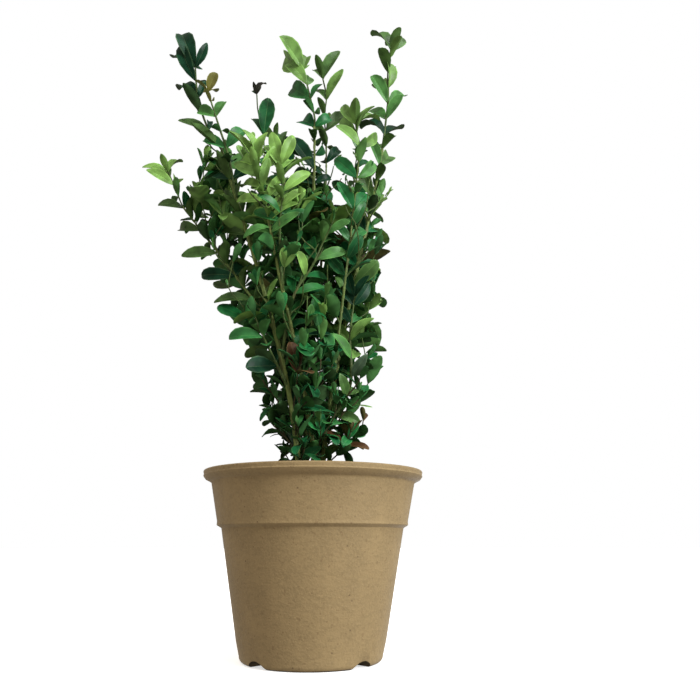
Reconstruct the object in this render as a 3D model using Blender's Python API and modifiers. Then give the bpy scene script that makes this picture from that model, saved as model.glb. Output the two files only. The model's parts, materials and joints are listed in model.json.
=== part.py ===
"""Young boxwood shrub in a nine centimetre nursery pot.

The pot is one turned shell with drain holes that open into notches in its foot, and it holds a
plug of potting soil. Five stems rise from the soil, each with a flared foot and a flat cut at the
soil's surface. Thinner boughs fork from the stems. The foliage is a set of uneven solids, each
trimmed against its neighbours along flat faces and cut around every limb that passes through it.

Units are metres, +Z is up, and the origin is the centre of the pot's flat underside.
Run it with: blender --background --python part.py
"""

import math

import bmesh
import bpy
import numpy as np
from mathutils import Vector, noise
from mathutils.bvhtree import BVHTree

MM = 0.001

PART_NAME = "potted_boxwood_shrub"

# Clearance between touching pieces.
GAP = 0.3 * MM
# Points nearer than this are merged, and edges shorter than a sliver are closed up.
MERGE_DISTANCE = 0.001 * MM
SLIVER = 0.02 * MM

# Pot, outside.
POT_HEIGHT = 74.0 * MM
RIM_RADIUS = 46.0 * MM
RIM_EDGE = 0.65 * MM
# The lip: a nearly upright face, a slanted underside, and a cove that runs into the collar.
LIP_FACE = 2.5 * MM
LIP_FACE_LEAN = 0.2 * MM
LIP_UNDERSIDE_DEPTH = 3.5 * MM
LIP_UNDERSIDE_LEAN = 0.9 * MM
LIP_COVE = 1.4 * MM
LIP_COVE_DEPTH = 5.7 * MM
LIP_COVE_START = 118.0
COLLAR_TOP_RADIUS = 42.4 * MM
COLLAR_FOOT_RADIUS = 39.6 * MM
STEP_HEIGHT = 51.1 * MM
STEP_WIDTH = 1.7 * MM
BODY_TOP_RADIUS = 37.6 * MM
BODY_FOOT_RADIUS = 28.6 * MM
FOOT_FILLET = 2.2 * MM
# Pot, inside.
WALL = 1.5 * MM
INNER_RIM_EDGE = 1.4 * MM
INNER_RIM_BEVEL = 0.85 * MM
FLOOR_THICKNESS = 4.0 * MM
# Facets round the turned pieces, and arc steps in their profile.
TURNED_STEPS = 40
LIP_STEPS = 2
FOOT_STEPS = 4
# Notches in the foot, and the drain holes that open into them.
NOTCH_ANGLES = (43.0, 133.0, 223.0, 313.0)
NOTCH_WIDTH = 10.2 * MM
NOTCH_HEIGHT = 2.8 * MM
NOTCH_INNER_RADIUS = 16.5 * MM
NOTCH_SIDES = 24
DRAIN_HOLE_RADIUS = 2.6 * MM
DRAIN_HOLE_CIRCLE = 20.5 * MM
DRAIN_HOLE_SIDES = 12

# Soil.
SOIL_TOP = 64.0 * MM

# Limbs: sections along each one, sides round it, and how far the flare at a stem's foot reaches.
LIMB_SECTIONS = 8
LIMB_BEVEL_RESOLUTION = 1
FLARE_HEIGHT = 9.0 * MM
FLARE_FACTOR = 1.7
FLARE_SHARES = (0.0, 0.012, 0.03, 0.06)
# How much of its height a stem spends upright before it leans out.
STEM_RISE = 0.3

# Foliage: facets round and along each mass, and the unevenness of its surface.
MASS_SIDES = 10
MASS_RINGS = 7
MASS_UNEVENNESS = 0.20
MASS_LUMP_SIZE = 14.0 * MM
# Lower values make a mass blunter at its two ends.
BODY_ROUNDNESS = 0.36
SPIRE_ROUNDNESS = 0.58

POT_ROUGHNESS = 0.72
SOIL_ROUGHNESS = 0.95
STEM_ROUGHNESS = 0.65
BOUGH_ROUGHNESS = 0.6
LEAF_ROUGHNESS = 0.45
POT_COLOR = (0.42, 0.31, 0.16, 1.0)
SOIL_COLOR = (0.035, 0.022, 0.013, 1.0)
STEM_COLOR = (0.19, 0.17, 0.05, 1.0)
BOUGH_COLOR = (0.16, 0.19, 0.06, 1.0)
DARK_LEAF_COLOR = (0.020, 0.075, 0.022, 1.0)
MIDDLE_LEAF_COLOR = (0.035, 0.13, 0.028, 1.0)
YOUNG_LEAF_COLOR = (0.12, 0.30, 0.035, 1.0)


# --------------------------------------------------------------------------- scene helpers


def clear_scene():
    """Remove every object of the open file."""
    for existing in list(bpy.data.objects):
        bpy.data.objects.remove(existing, do_unlink=True)


def new_collection(name):
    """Return a new collection linked to the scene."""
    collection = bpy.data.collections.new(name)
    bpy.context.scene.collection.children.link(collection)
    return collection


def make_material(name, color, roughness):
    """Return a plain Principled material."""
    material = bpy.data.materials.new(name)
    material.use_nodes = True
    shader = material.node_tree.nodes["Principled BSDF"]
    shader.inputs["Base Color"].default_value = color
    shader.inputs["Roughness"].default_value = roughness
    shader.inputs["Metallic"].default_value = 0.0
    material.diffuse_color = color
    return material


def add_object(name, mesh, collection, material=None):
    """Put a mesh into a collection as a new object."""
    made = bpy.data.objects.new(name, mesh)
    collection.objects.link(made)
    if material is not None:
        mesh.materials.append(material)
    return made


def mark_as_cutter(cutter):
    """Keep an object out of the model: it only shapes other objects."""
    cutter.hide_render = True
    cutter.display_type = "WIRE"


def subtract(target, cutter):
    """Cut one object out of another with an exact Boolean."""
    modifier = target.modifiers.new("cut_" + cutter.name, "BOOLEAN")
    modifier.operation = "DIFFERENCE"
    modifier.solver = "EXACT"
    modifier.object = cutter


def millimetres(*values):
    """Return a vector in metres from values in millimetres."""
    return Vector(values) * MM


# --------------------------------------------------------------------------- turned pieces


def arc_points(centre, radius, start_degrees, end_degrees, steps):
    """Return points (radius, height) along an arc, its two ends included."""
    points = []
    for index in range(steps + 1):
        angle = math.radians(start_degrees + (end_degrees - start_degrees) * index / steps)
        points.append((centre[0] + radius * math.cos(angle), centre[1] + radius * math.sin(angle)))
    return points


def turned_object(name, profile, collection, material):
    """Turn a profile of (radius, height) pairs round the Z axis.

    The profile starts and ends on the axis, and it runs down the piece's outer side.
    """
    mesh = bpy.data.meshes.new(name)
    vertices = [(radius, 0.0, height) for radius, height in profile]
    edges = [(index, index + 1) for index in range(len(profile) - 1)]
    mesh.from_pydata(vertices, edges, [])
    made = add_object(name, mesh, collection, material)
    screw = made.modifiers.new("turn", "SCREW")
    screw.axis = "Z"
    screw.steps = TURNED_STEPS
    screw.render_steps = TURNED_STEPS
    screw.use_merge_vertices = True
    screw.merge_threshold = MERGE_DISTANCE
    screw.use_smooth_shade = True
    return made


def inner_wall_profile(clearance):
    """Return the pot's inner wall from the floor up to the rim, moved inwards by a clearance."""
    inset = WALL + clearance
    return [
        (BODY_FOOT_RADIUS - inset, FLOOR_THICKNESS + clearance),
        (BODY_TOP_RADIUS - inset, STEP_HEIGHT),
        (COLLAR_FOOT_RADIUS - inset, STEP_HEIGHT + STEP_WIDTH),
        (COLLAR_TOP_RADIUS - inset, POT_HEIGHT - INNER_RIM_EDGE),
    ]


def wall_radius_inside(height, clearance):
    """Return the inner wall's radius at a height."""
    profile = inner_wall_profile(clearance)
    for (low_radius, low), (high_radius, high) in zip(profile, profile[1:]):
        if low <= height <= high:
            share = (height - low) / (high - low)
            return low_radius + share * (high_radius - low_radius)
    return profile[-1][0]


def pot_profile():
    """Return the pot's whole profile, from its floor's centre round the rim to the underside."""
    lip_top = (RIM_RADIUS - RIM_EDGE, POT_HEIGHT - RIM_EDGE)
    lip_cove = (COLLAR_TOP_RADIUS + LIP_COVE, POT_HEIGHT - LIP_COVE_DEPTH)
    foot = (BODY_FOOT_RADIUS - FOOT_FILLET, FOOT_FILLET)

    profile = [(0.0, FLOOR_THICKNESS)]
    profile += inner_wall_profile(0.0)
    profile.append((COLLAR_TOP_RADIUS - WALL + INNER_RIM_BEVEL, POT_HEIGHT))
    profile += arc_points(lip_top, RIM_EDGE, 90.0, 0.0, LIP_STEPS)
    profile.append((RIM_RADIUS - LIP_FACE_LEAN, POT_HEIGHT - LIP_FACE))
    profile.append((RIM_RADIUS - LIP_UNDERSIDE_LEAN, POT_HEIGHT - LIP_UNDERSIDE_DEPTH))
    profile += arc_points(lip_cove, LIP_COVE, LIP_COVE_START, 180.0, LIP_STEPS)
    profile.append((COLLAR_FOOT_RADIUS, STEP_HEIGHT + STEP_WIDTH))
    profile.append((BODY_TOP_RADIUS, STEP_HEIGHT))
    profile += arc_points(foot, FOOT_FILLET, 0.0, -90.0, FOOT_STEPS)
    profile.append((0.0, 0.0))
    return profile


def make_notch_cutter(angle, collection):
    """Return a level cylinder that cuts one arched notch into the pot's foot."""
    arch_radius = (0.25 * NOTCH_WIDTH**2 + NOTCH_HEIGHT**2) / (2.0 * NOTCH_HEIGHT)
    length = RIM_RADIUS - NOTCH_INNER_RADIUS
    middle = NOTCH_INNER_RADIUS + 0.5 * length
    bpy.ops.mesh.primitive_cylinder_add(
        vertices=NOTCH_SIDES,
        radius=arch_radius,
        depth=length,
        location=(middle * math.cos(angle), middle * math.sin(angle), NOTCH_HEIGHT - arch_radius),
        rotation=(0.0, math.radians(90.0), angle),
    )
    return adopt_cutter("notch_cutter", collection)


def make_drain_cutter(angle, collection):
    """Return an upright cylinder that cuts one drain hole through the pot's floor."""
    bpy.ops.mesh.primitive_cylinder_add(
        vertices=DRAIN_HOLE_SIDES,
        radius=DRAIN_HOLE_RADIUS,
        depth=3.0 * FLOOR_THICKNESS,
        location=(DRAIN_HOLE_CIRCLE * math.cos(angle), DRAIN_HOLE_CIRCLE * math.sin(angle), 0.0),
    )
    return adopt_cutter("drain_cutter", collection)


def adopt_cutter(name, collection):
    """Move the object that an operator just made into the cutters' collection."""
    cutter = bpy.context.object
    cutter.name = name
    for owner in list(cutter.users_collection):
        owner.objects.unlink(cutter)
    collection.objects.link(cutter)
    mark_as_cutter(cutter)
    return cutter


def make_pot(parts, cutters):
    """Make the pot with its notches and drain holes."""
    material = make_material("pot_fibre", POT_COLOR, POT_ROUGHNESS)
    pot = turned_object("pot", pot_profile(), parts, material)
    for degrees in NOTCH_ANGLES:
        angle = math.radians(degrees - 90.0)
        subtract(pot, make_notch_cutter(angle, cutters))
        subtract(pot, make_drain_cutter(angle, cutters))
    return pot


def make_soil(parts):
    """Make the plug of soil, which leaves room for water below the rim."""
    material = make_material("soil", SOIL_COLOR, SOIL_ROUGHNESS)
    bottom = FLOOR_THICKNESS + GAP
    step_low = STEP_HEIGHT
    step_high = STEP_HEIGHT + STEP_WIDTH
    profile = [(0.0, SOIL_TOP)]
    for height in (SOIL_TOP, step_high, step_low, bottom):
        profile.append((wall_radius_inside(height, GAP), height))
    profile.append((0.0, bottom))
    return turned_object("soil", profile, parts, material)


# --------------------------------------------------------------------------- limbs


class Limb:
    """A stem or bough: one tapering, curved limb."""

    def __init__(self, name, foot, rise, approach, end, foot_radius, end_radius, flared):
        self.name = name
        self.controls = (foot, foot + rise, end - approach, end)
        self.foot_radius = foot_radius
        self.end_radius = end_radius
        self.flared = flared

    def point(self, share):
        """Return the point at a share of the way from foot to end, on a cubic curve."""
        back = 1.0 - share
        weights = (back**3, 3.0 * back**2 * share, 3.0 * back * share**2, share**3)
        total = Vector((0.0, 0.0, 0.0))
        for weight, control in zip(weights, self.controls):
            total += weight * control
        return total

    def radius(self, share):
        """Return the limb's radius at a share of the way, with the flare at a stem's foot."""
        plain = self.foot_radius + (self.end_radius - self.foot_radius) * share
        if not self.flared:
            return plain
        height = self.point(share).z - self.point(0.0).z
        flare = max(0.0, 1.0 - height / FLARE_HEIGHT) ** 2
        return plain * (1.0 + (FLARE_FACTOR - 1.0) * flare)

    def shares(self):
        """Return where the limb's sections stand, closer together in the flare."""
        steps = [index / LIMB_SECTIONS for index in range(LIMB_SECTIONS + 1)]
        if self.flared:
            steps = [*FLARE_SHARES, *steps[1:]]
        return steps

    def build(self, name, collection, margin, material=None):
        """Build the limb as a closed mesh, thicker and longer by a margin where it is a cutter."""
        curve = bpy.data.curves.new(name, "CURVE")
        curve.dimensions = "3D"
        curve.bevel_depth = 1.0
        curve.bevel_resolution = LIMB_BEVEL_RESOLUTION
        curve.use_fill_caps = True
        curve.twist_mode = "Z_UP"
        spline = curve.splines.new("POLY")
        shares = self.shares()
        spline.points.add(len(shares) - 1)
        for spline_point, share in zip(spline.points, shares):
            spline_point.co = (*self.point(share), 1.0)
            spline_point.radius = self.radius(share) + margin
        end = self.controls[3] + (self.controls[3] - self.controls[2]).normalized() * margin
        spline.points[-1].co = (*end, 1.0)
        return mesh_from_curve(name, curve, collection, material)


def mesh_from_curve(name, curve, collection, material):
    """Turn a bevelled curve into a closed mesh object, and remove the curve."""
    holder = bpy.data.objects.new(name + "_curve", curve)
    collection.objects.link(holder)
    graph = bpy.context.evaluated_depsgraph_get()
    mesh = bpy.data.meshes.new_from_object(holder.evaluated_get(graph))
    mesh.name = name
    shape = bmesh.new()
    shape.from_mesh(mesh)
    bmesh.ops.remove_doubles(shape, verts=shape.verts, dist=MERGE_DISTANCE)
    bmesh.ops.recalc_face_normals(shape, faces=shape.faces)
    shape.to_mesh(mesh)
    shape.free()
    made = add_object(name, mesh, collection, material)
    made.matrix_world = holder.matrix_world
    bpy.data.objects.remove(holder, do_unlink=True)
    return made


def stem(name, foot, approach, end, foot_radius, end_radius):
    """Describe a stem that leaves the soil upright."""
    start = Vector((foot[0], foot[1], 0.0)) * MM
    start.z = SOIL_TOP + GAP
    rise = Vector((0.0, 0.0, STEM_RISE * (end[2] * MM - start.z)))
    return Limb(
        name,
        start,
        rise,
        millimetres(*approach),
        millimetres(*end),
        foot_radius * MM,
        end_radius * MM,
        True,
    )


def bough(name, parent, share, rise, approach, end, foot_radius, end_radius):
    """Describe a bough that forks from a stem at a share of the stem's way."""
    return Limb(
        name,
        parent.point(share),
        millimetres(*rise),
        millimetres(*approach),
        millimetres(*end),
        foot_radius * MM,
        end_radius * MM,
        False,
    )


def plan_stems():
    """Return the five stems, from the left round to the back."""
    return [
        stem("stem_left", (-5.8, -11.5), (-10.0, 1.5, 36.0), (-45.0, -9.0, 222.0), 1.9, 0.95),
        stem("stem_centre", (-3.6, 1.5), (-1.0, 1.0, 40.0), (-2.0, 5.0, 244.0), 1.7, 0.85),
        stem("stem_right", (3.4, -3.2), (5.0, 0.5, 40.0), (31.5, 2.6, 232.0), 1.8, 0.95),
        stem("stem_front", (0.9, -9.9), (-5.0, -3.0, 34.0), (-22.0, -23.5, 186.0), 1.5, 0.8),
        stem("stem_back", (-3.0, 9.4), (-4.0, 6.0, 40.0), (-18.0, 33.0, 232.0), 1.6, 0.85),
    ]


def plan_boughs(stems):
    """Return the boughs, each with the stem that carries it."""
    left, centre, right, front, back = stems
    return [
        (
            bough("bough_far_left", left, 0.42, (-6, 1, 10), (-9, 1, 12), (-63, 1, 197), 1.0, 0.6),
            left,
        ),
        (
            bough("bough_inner_left", back, 0.34, (-8, -2, 22), (-3, 1, 34), (-27, 13, 234), 0.9, 0.55),
            back,
        ),
        (
            bough("bough_inner_right", centre, 0.38, (5, 3, 16), (-1, 1, 34), (4, 16, 244), 1.0, 0.6),
            centre,
        ),
        (
            bough("bough_front_right", right, 0.20, (2, -7, 18), (2, -1, 30), (19, -20, 220), 1.0, 0.6),
            right,
        ),
        (
            bough("bough_back_right", back, 0.26, (7, 4, 16), (3, 4, 34), (19, 32, 228), 1.0, 0.6),
            back,
        ),
    ]


# --------------------------------------------------------------------------- foliage


class Mass:
    """A mass of leaves: an uneven spindle round a straight or bowed spine."""

    def __init__(self, name, low, high, breadth, depth, color, roundness, bow=(0.0, 0.0, 0.0)):
        self.name = name
        self.roundness = roundness
        self.low = millimetres(*low)
        self.high = millimetres(*high)
        self.bow = millimetres(*bow)
        self.breadth = breadth * MM
        self.depth = depth * MM
        self.color = color

    def spine(self, share):
        """Return the spine's point at a share of the way up."""
        straight = self.low.lerp(self.high, share)
        return straight + self.bow * (4.0 * share * (1.0 - share))

    def fullness(self, share):
        """Return how much of its full width the mass has at a share of the way up."""
        height = 2.0 * share - 1.0
        return max(0.0, 1.0 - height * height) ** self.roundness

    def place(self, unit):
        """Move a point of the unit sphere onto the mass."""
        share = 0.5 + 0.5 * max(-1.0, min(1.0, unit.z))
        flat = Vector((unit.x, unit.y, 0.0))
        if flat.length > 1e-9:
            flat.normalize()
        width = self.fullness(share)
        offset = Vector((flat.x * self.breadth, flat.y * self.depth, 0.0)) * width
        raw = self.spine(share) + offset
        lump = noise.noise(raw / MASS_LUMP_SIZE)
        return raw + offset * (MASS_UNEVENNESS * lump * 2.0)


def body(name, low, high, breadth, depth, color):
    """Describe a blunt mass in the body of the crown."""
    return Mass("foliage_" + name, low, high, breadth, depth, color, BODY_ROUNDNESS)


def spire(name, low, high, breadth, depth, color, bow=(0.0, 0.0, 0.0)):
    """Describe a pointed mass round a single leafy shoot."""
    return Mass("spire_" + name, low, high, breadth, depth, color, SPIRE_ROUNDNESS, bow)


def plan_masses():
    """Return the masses of foliage, from the pot up to the tips."""
    dark, middle, young = DARK_LEAF_COLOR, MIDDLE_LEAF_COLOR, YOUNG_LEAF_COLOR
    return [
        body("low_left", (-11, -4, 77), (-23, -4, 134), 13, 16, dark),
        body("low_right", (11, -3, 77), (17, -2, 134), 14, 16, dark),
        body("low_front", (0, -13, 76), (0, -19, 132), 15, 14, dark),
        body("low_back", (-2, 12, 76), (-2, 18, 134), 20, 16, dark),
        body("mid_left", (-22, -4, 124), (-42, -4, 188), 20, 22, dark),
        body("mid_front", (-5, -17, 124), (-6, -25, 182), 18, 16, middle),
        body("mid_right", (15, 2, 124), (24, 4, 190), 17, 20, dark),
        body("mid_back", (-4, 17, 124), (-9, 26, 186), 22, 18, dark),
        body("front_right", (13, -18, 150), (19, -21, 222), 15, 14, middle),
        body("upper_left", (-38, -3, 176), (-54, -4, 236), 19, 19, middle),
        body("upper_front", (-13, -21, 172), (-28, -26, 227), 16, 14, young),
        body("upper_centre", (-1, 2, 176), (-1, 6, 248), 17, 17, dark),
        body("upper_right", (26, 0, 182), (33, 2, 240), 12, 18, middle),
        body("upper_back", (-12, 24, 176), (-18, 32, 238), 20, 16, dark),
        body("back_right", (14, 22, 172), (19, 30, 234), 17, 15, dark),
        spire("far_left", (-56, 0, 182), (-81, 2, 224), 9, 9, young),
        spire("left", (-50, -8, 226), (-76, -6, 297), 10, 10, middle, bow=(3, 0, 0)),
        spire("inner_left", (-26, 13, 228), (-33, 16, 290), 7, 7, dark),
        spire("centre", (-2, 4, 240), (-3, 6, 303), 12, 10, middle),
        spire("inner_right", (5, 17, 236), (2, 19, 298), 9, 8, dark),
        spire("right", (33, 3, 228), (37, 4, 306), 11, 10, middle),
        spire("front_right", (19, -21, 208), (18, -22, 238), 9, 9, young),
        spire("back_left", (-19, 34, 228), (-24, 40, 268), 10, 9, middle),
        spire("back_right", (20, 33, 224), (22, 40, 262), 10, 9, middle),
    ]


def put_in_order(shape):
    """Rebuild a mesh with its vertices and faces in an order that depends on its shape alone.

    Mesh operators may list them in another order each time, and a plane that is fitted to sums over
    them would then be rounded differently from run to run.
    """
    ordered = sorted(shape.verts, key=lambda vertex: vertex.co[:])
    rank = {vertex: index for index, vertex in enumerate(ordered)}
    places = [vertex.co.copy() for vertex in ordered]
    rings = []
    for face in shape.faces:
        ring = [rank[vertex] for vertex in face.verts]
        start = ring.index(min(ring))
        rings.append(ring[start:] + ring[:start])
    shape.clear()
    made = [shape.verts.new(place) for place in places]
    for ring in sorted(rings):
        shape.faces.new([made[index] for index in ring])


def crossing_points(first, second):
    """Return where the edges of one closed mesh pass through the surface of another."""
    tree = BVHTree.FromBMesh(second)
    points = []
    for edge in first.edges:
        start = edge.verts[0].co
        way = edge.verts[1].co - start
        hit = tree.ray_cast(start, way.normalized(), way.length)[0]
        if hit is not None:
            points.append(hit)
    return points


def middle_of(points):
    """Return the mean of some points."""
    return sum(points, Vector()) / len(points)


def parting_plane(first, second):
    """Return the plane that fits the curve where two masses cross, or None where they don't.

    The plane is a point and a normal, and the normal points towards the second mass.
    """
    points = crossing_points(first, second) + crossing_points(second, first)
    if len(points) < 3:
        return None
    centre = middle_of(points)
    offsets = np.array([point - centre for point in points])
    normal = Vector(np.linalg.svd(offsets)[2][2])
    way = middle_of([vertex.co for vertex in second.verts])
    way -= middle_of([vertex.co for vertex in first.verts])
    if normal.dot(way) < 0.0:
        normal.negate()
    return centre, normal


def boxes_meet(first, second):
    """Return whether two (low, high) boxes come within the gap of each other."""
    for axis in range(3):
        if first[0][axis] > second[1][axis] + GAP or second[0][axis] > first[1][axis] + GAP:
            return False
    return True


def box_of(points):
    """Return the (low, high) corners of the box round some points."""
    low = [min(point[axis] for point in points) for axis in range(3)]
    high = [max(point[axis] for point in points) for axis in range(3)]
    return low, high


def trim(shape, point, normal):
    """Cut a closed mesh off beyond a plane, and close the cut with a flat face."""
    bmesh.ops.bisect_plane(
        shape,
        geom=shape.verts[:] + shape.edges[:] + shape.faces[:],
        dist=MERGE_DISTANCE,
        plane_co=point,
        plane_no=normal,
        clear_outer=True,
    )
    edges = [edge for edge in shape.edges if edge.is_boundary]
    if edges:
        bmesh.ops.holes_fill(shape, edges=edges, sides=0)
        bmesh.ops.dissolve_degenerate(shape, dist=SLIVER, edges=shape.edges[:])
    put_in_order(shape)


def make_masses(parts):
    """Make the masses of foliage, each trimmed against its neighbours."""
    plans = plan_masses()
    shapes = []
    for plan in plans:
        shape = bmesh.new()
        bmesh.ops.create_uvsphere(shape, u_segments=MASS_SIDES, v_segments=MASS_RINGS, radius=1.0)
        for vertex in shape.verts:
            vertex.co = plan.place(vertex.co)
        put_in_order(shape)
        shapes.append(shape)
    boxes = [box_of([vertex.co for vertex in shape.verts]) for shape in shapes]
    for first in range(len(plans)):
        for second in range(first + 1, len(plans)):
            if not boxes_meet(boxes[first], boxes[second]):
                continue
            plane = parting_plane(shapes[first], shapes[second])
            if plane is None:
                continue
            point, normal = plane
            trim(shapes[first], point - normal * (0.5 * GAP), normal)
            trim(shapes[second], point + normal * (0.5 * GAP), -normal)
    made = []
    for plan, shape in zip(plans, shapes):
        bmesh.ops.recalc_face_normals(shape, faces=shape.faces)
        mesh = bpy.data.meshes.new(plan.name)
        shape.to_mesh(mesh)
        shape.free()
        material = make_material(plan.name, plan.color, LEAF_ROUGHNESS)
        made.append(add_object(plan.name, mesh, parts, material))
    return made


# --------------------------------------------------------------------------- the whole plant


def make_limbs(parts, cutters):
    """Make stems and boughs, and return a slightly thicker cutter for each of them."""
    stem_material = make_material("stem_bark", STEM_COLOR, STEM_ROUGHNESS)
    bough_material = make_material("bough_bark", BOUGH_COLOR, BOUGH_ROUGHNESS)
    stems = plan_stems()
    cutter_of = {}
    for limb in stems:
        limb.build(limb.name, parts, 0.0, stem_material)
        cutter_of[limb.name] = limb.build(limb.name + "_cutter", cutters, GAP)
    for limb, parent in plan_boughs(stems):
        made = limb.build(limb.name, parts, 0.0, bough_material)
        subtract(made, cutter_of[parent.name])
        cutter_of[limb.name] = limb.build(limb.name + "_cutter", cutters, GAP)
    for cutter in cutter_of.values():
        mark_as_cutter(cutter)
    return list(cutter_of.values())


def cut_masses_round_limbs(masses, limb_cutters):
    """Leave a sleeve in each mass for every limb that runs through it or ends in it."""
    for mass in masses:
        mass_box = box_of([vertex.co for vertex in mass.data.vertices])
        for cutter in limb_cutters:
            if boxes_meet(mass_box, box_of([vertex.co for vertex in cutter.data.vertices])):
                subtract(mass, cutter)


def main():
    """Build the potted shrub."""
    clear_scene()
    parts = new_collection(PART_NAME)
    cutters = new_collection(PART_NAME + "_cutters")
    make_pot(parts, cutters)
    make_soil(parts)
    limb_cutters = make_limbs(parts, cutters)
    masses = make_masses(parts)
    cut_masses_round_limbs(masses, limb_cutters)


main()
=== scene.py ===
"""The looks of a young boxwood shrub in a nine centimetre fibre pot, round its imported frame.

The pot, the soil and the bark of every limb are modelled finely in place of their plain solids.
Each mass of foliage gives way to leading shoots, twigs and leaves that grow on from the limbs by a
seeded rule. Lengths are metres, +Z is up, and the origin is the centre of the pot's underside.
"""

import functools
import json
import math
from dataclasses import dataclass

import bmesh
import bpy
import numpy as np
from bpy.props import FloatProperty, FloatVectorProperty, IntProperty, PointerProperty
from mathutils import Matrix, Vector, noise
from mathutils.bvhtree import BVHTree

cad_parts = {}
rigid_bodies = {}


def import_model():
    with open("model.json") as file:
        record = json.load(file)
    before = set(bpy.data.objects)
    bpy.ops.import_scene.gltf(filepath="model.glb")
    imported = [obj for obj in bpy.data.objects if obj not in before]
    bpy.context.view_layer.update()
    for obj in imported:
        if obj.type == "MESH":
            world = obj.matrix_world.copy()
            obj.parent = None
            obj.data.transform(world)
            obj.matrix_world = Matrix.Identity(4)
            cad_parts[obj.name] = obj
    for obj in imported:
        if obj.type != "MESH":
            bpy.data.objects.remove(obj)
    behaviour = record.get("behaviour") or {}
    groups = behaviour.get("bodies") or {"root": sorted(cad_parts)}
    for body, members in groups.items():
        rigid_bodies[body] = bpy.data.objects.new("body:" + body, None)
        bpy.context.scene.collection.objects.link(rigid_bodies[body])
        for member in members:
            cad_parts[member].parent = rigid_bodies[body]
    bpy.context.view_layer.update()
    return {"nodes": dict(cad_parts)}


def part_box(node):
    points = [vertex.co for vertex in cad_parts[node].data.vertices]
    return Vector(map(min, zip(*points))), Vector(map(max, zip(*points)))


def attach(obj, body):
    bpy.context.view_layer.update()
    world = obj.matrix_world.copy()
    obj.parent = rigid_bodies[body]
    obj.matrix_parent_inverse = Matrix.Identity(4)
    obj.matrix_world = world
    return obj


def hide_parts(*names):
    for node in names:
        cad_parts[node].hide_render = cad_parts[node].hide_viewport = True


bl_info = {
    "name": "Potted boxwood",
    "version": (1, 0, 0),
    "blender": (4, 5, 0),
    "location": "View3D > Sidebar > Boxwood",
    "description": "Builds a young boxwood shrub in a fibre pot round its packed frame",
    "category": "Object",
}

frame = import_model()

MM = 0.001
BODY = "root"
UP = np.array((0.0, 0.0, 1.0))
FRONTWARDS = np.array((0.0, -1.0, 0.0))
# Points closer than this are one: on the turned outline, and on a limb's caps.
PROFILE_MERGE = 0.002 * MM
CAP_MERGE = 0.001 * MM

POT_LOW, POT_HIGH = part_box("pot")
SOIL_LOW, SOIL_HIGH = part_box("soil")

# Pot, outside. Its height, rim and soil level come from the frame.
RIM_EDGE = 0.65 * MM
# The lip: a groove and a bead on its face, a slanted underside, and a cove under it.
LIP_FACE = 2.5 * MM
LIP_GROOVE = 0.26 * MM
LIP_GROOVE_DEPTH = 1.75 * MM
LIP_BEAD = 0.3 * MM
LIP_BEAD_LEAN = 0.04 * MM
LIP_UNDERSIDE_DEPTH = 3.496 * MM
LIP_UNDERSIDE_LEAN = 0.9 * MM
LIP_COVE = 1.4 * MM
LIP_COVE_DEPTH = 5.72 * MM
LIP_COVE_START_DEGREES = 118.0
COLLAR_TOP_RADIUS = 42.4 * MM
COLLAR_FOOT_RADIUS = 39.6 * MM
STEP_HEIGHT = 51.1 * MM
STEP_WIDTH = 1.7 * MM
STEP_FILLET = 0.5 * MM
# The collar's foot draws in a little just above the step.
COLLAR_DRAW_IN = 0.10 * MM
COLLAR_DRAW_IN_RISE = 1.2 * MM
BODY_TOP_RADIUS = 37.6 * MM
BODY_FOOT_RADIUS = 28.6 * MM
FOOT_FILLET = 2.2 * MM
# How far up the body an extra ring stands.
LOW_RING_SHARE = 0.16
# Pot, inside.
WALL = 1.5 * MM
INNER_RIM_EDGE = 1.4 * MM
FLOOR_THICKNESS = 4.0 * MM
# Notches in the foot and the drain holes that open into them.
NOTCH_ANGLES = (43.0, 133.0, 223.0, 313.0)
NOTCH_WIDTH = 10.2 * MM
NOTCH_HEIGHT = 2.8 * MM
NOTCH_INNER_RADIUS = 16.5 * MM
NOTCH_EDGE = 0.45 * MM
NOTCH_SIDES = 72
DRAIN_HOLE_RADIUS = 2.6 * MM
DRAIN_HOLE_CIRCLE = 20.5 * MM
DRAIN_HOLE_SIDES = 32
SOFT_EDGE_ANGLE = math.radians(38.0)

# Soil: squares of its grid, heights of its rings in the pot (millimetres), and gaps to the wall.
SOIL_GRID = 110
SOIL_RINGS = (60.0, 54.6, 51.4, 28.0, 4.4)
SOIL_TOP_GAP = 0.1 * MM
SOIL_WALL_GAP = 0.25 * MM
# Sizes of a common and of a large crumb (millimetres), and the share of large ones.
CRUMB_SIZES = (1.2, 2.2)
LARGE_CRUMBS = 0.12

# Where the limbs leave the soil, as their solids do.
LIMB_FOOT_HEIGHT = SOIL_HIGH.z + 0.3 * MM
STEM_RISE_SHARE = 0.3
FLARE_HEIGHT = 9.0 * MM
FLARE_FACTOR = 1.7
# How deep a limb's bark runs into the soil, so that no gap shows at its foot.
LIMB_SINK = 2.0 * MM
# How much thinner the bark is than the limbs' solids.
LIMB_SLENDER = 0.64
# Cross-section of the bark: sides, ridges and their depth.
SECTION_SIDES = 20
SECTION_RIDGES = 4
RIDGE_DEPTH = 0.09
RING_GAP = 0.8 * MM
# Nodes on the stems: how far apart, how much they swell, and over what length.
NODE_SPACING = 12.5 * MM
NODE_SWELL = 0.16
NODE_REACH = 1.0 * MM

CAMERA_PLACE = (0.0, -0.300, 0.046)
EYE = np.array(CAMERA_PLACE)
CAMERA_PITCH = math.radians(15.3)
CAMERA_TURN = math.radians(-2.95)
CAMERA_LENS = 35.8

# The even light: its strength from below and above, how much of it gloss shows, and its colour.
LIGHT_FROM_BELOW = 0.48
LIGHT_FROM_ABOVE = 0.92
LIGHT_IN_GLOSS = 0.40
LIGHT_COLOR = (1.0, 0.90, 0.80, 1.0)
WHITE = (1.0, 1.0, 1.0, 1.0)
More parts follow.
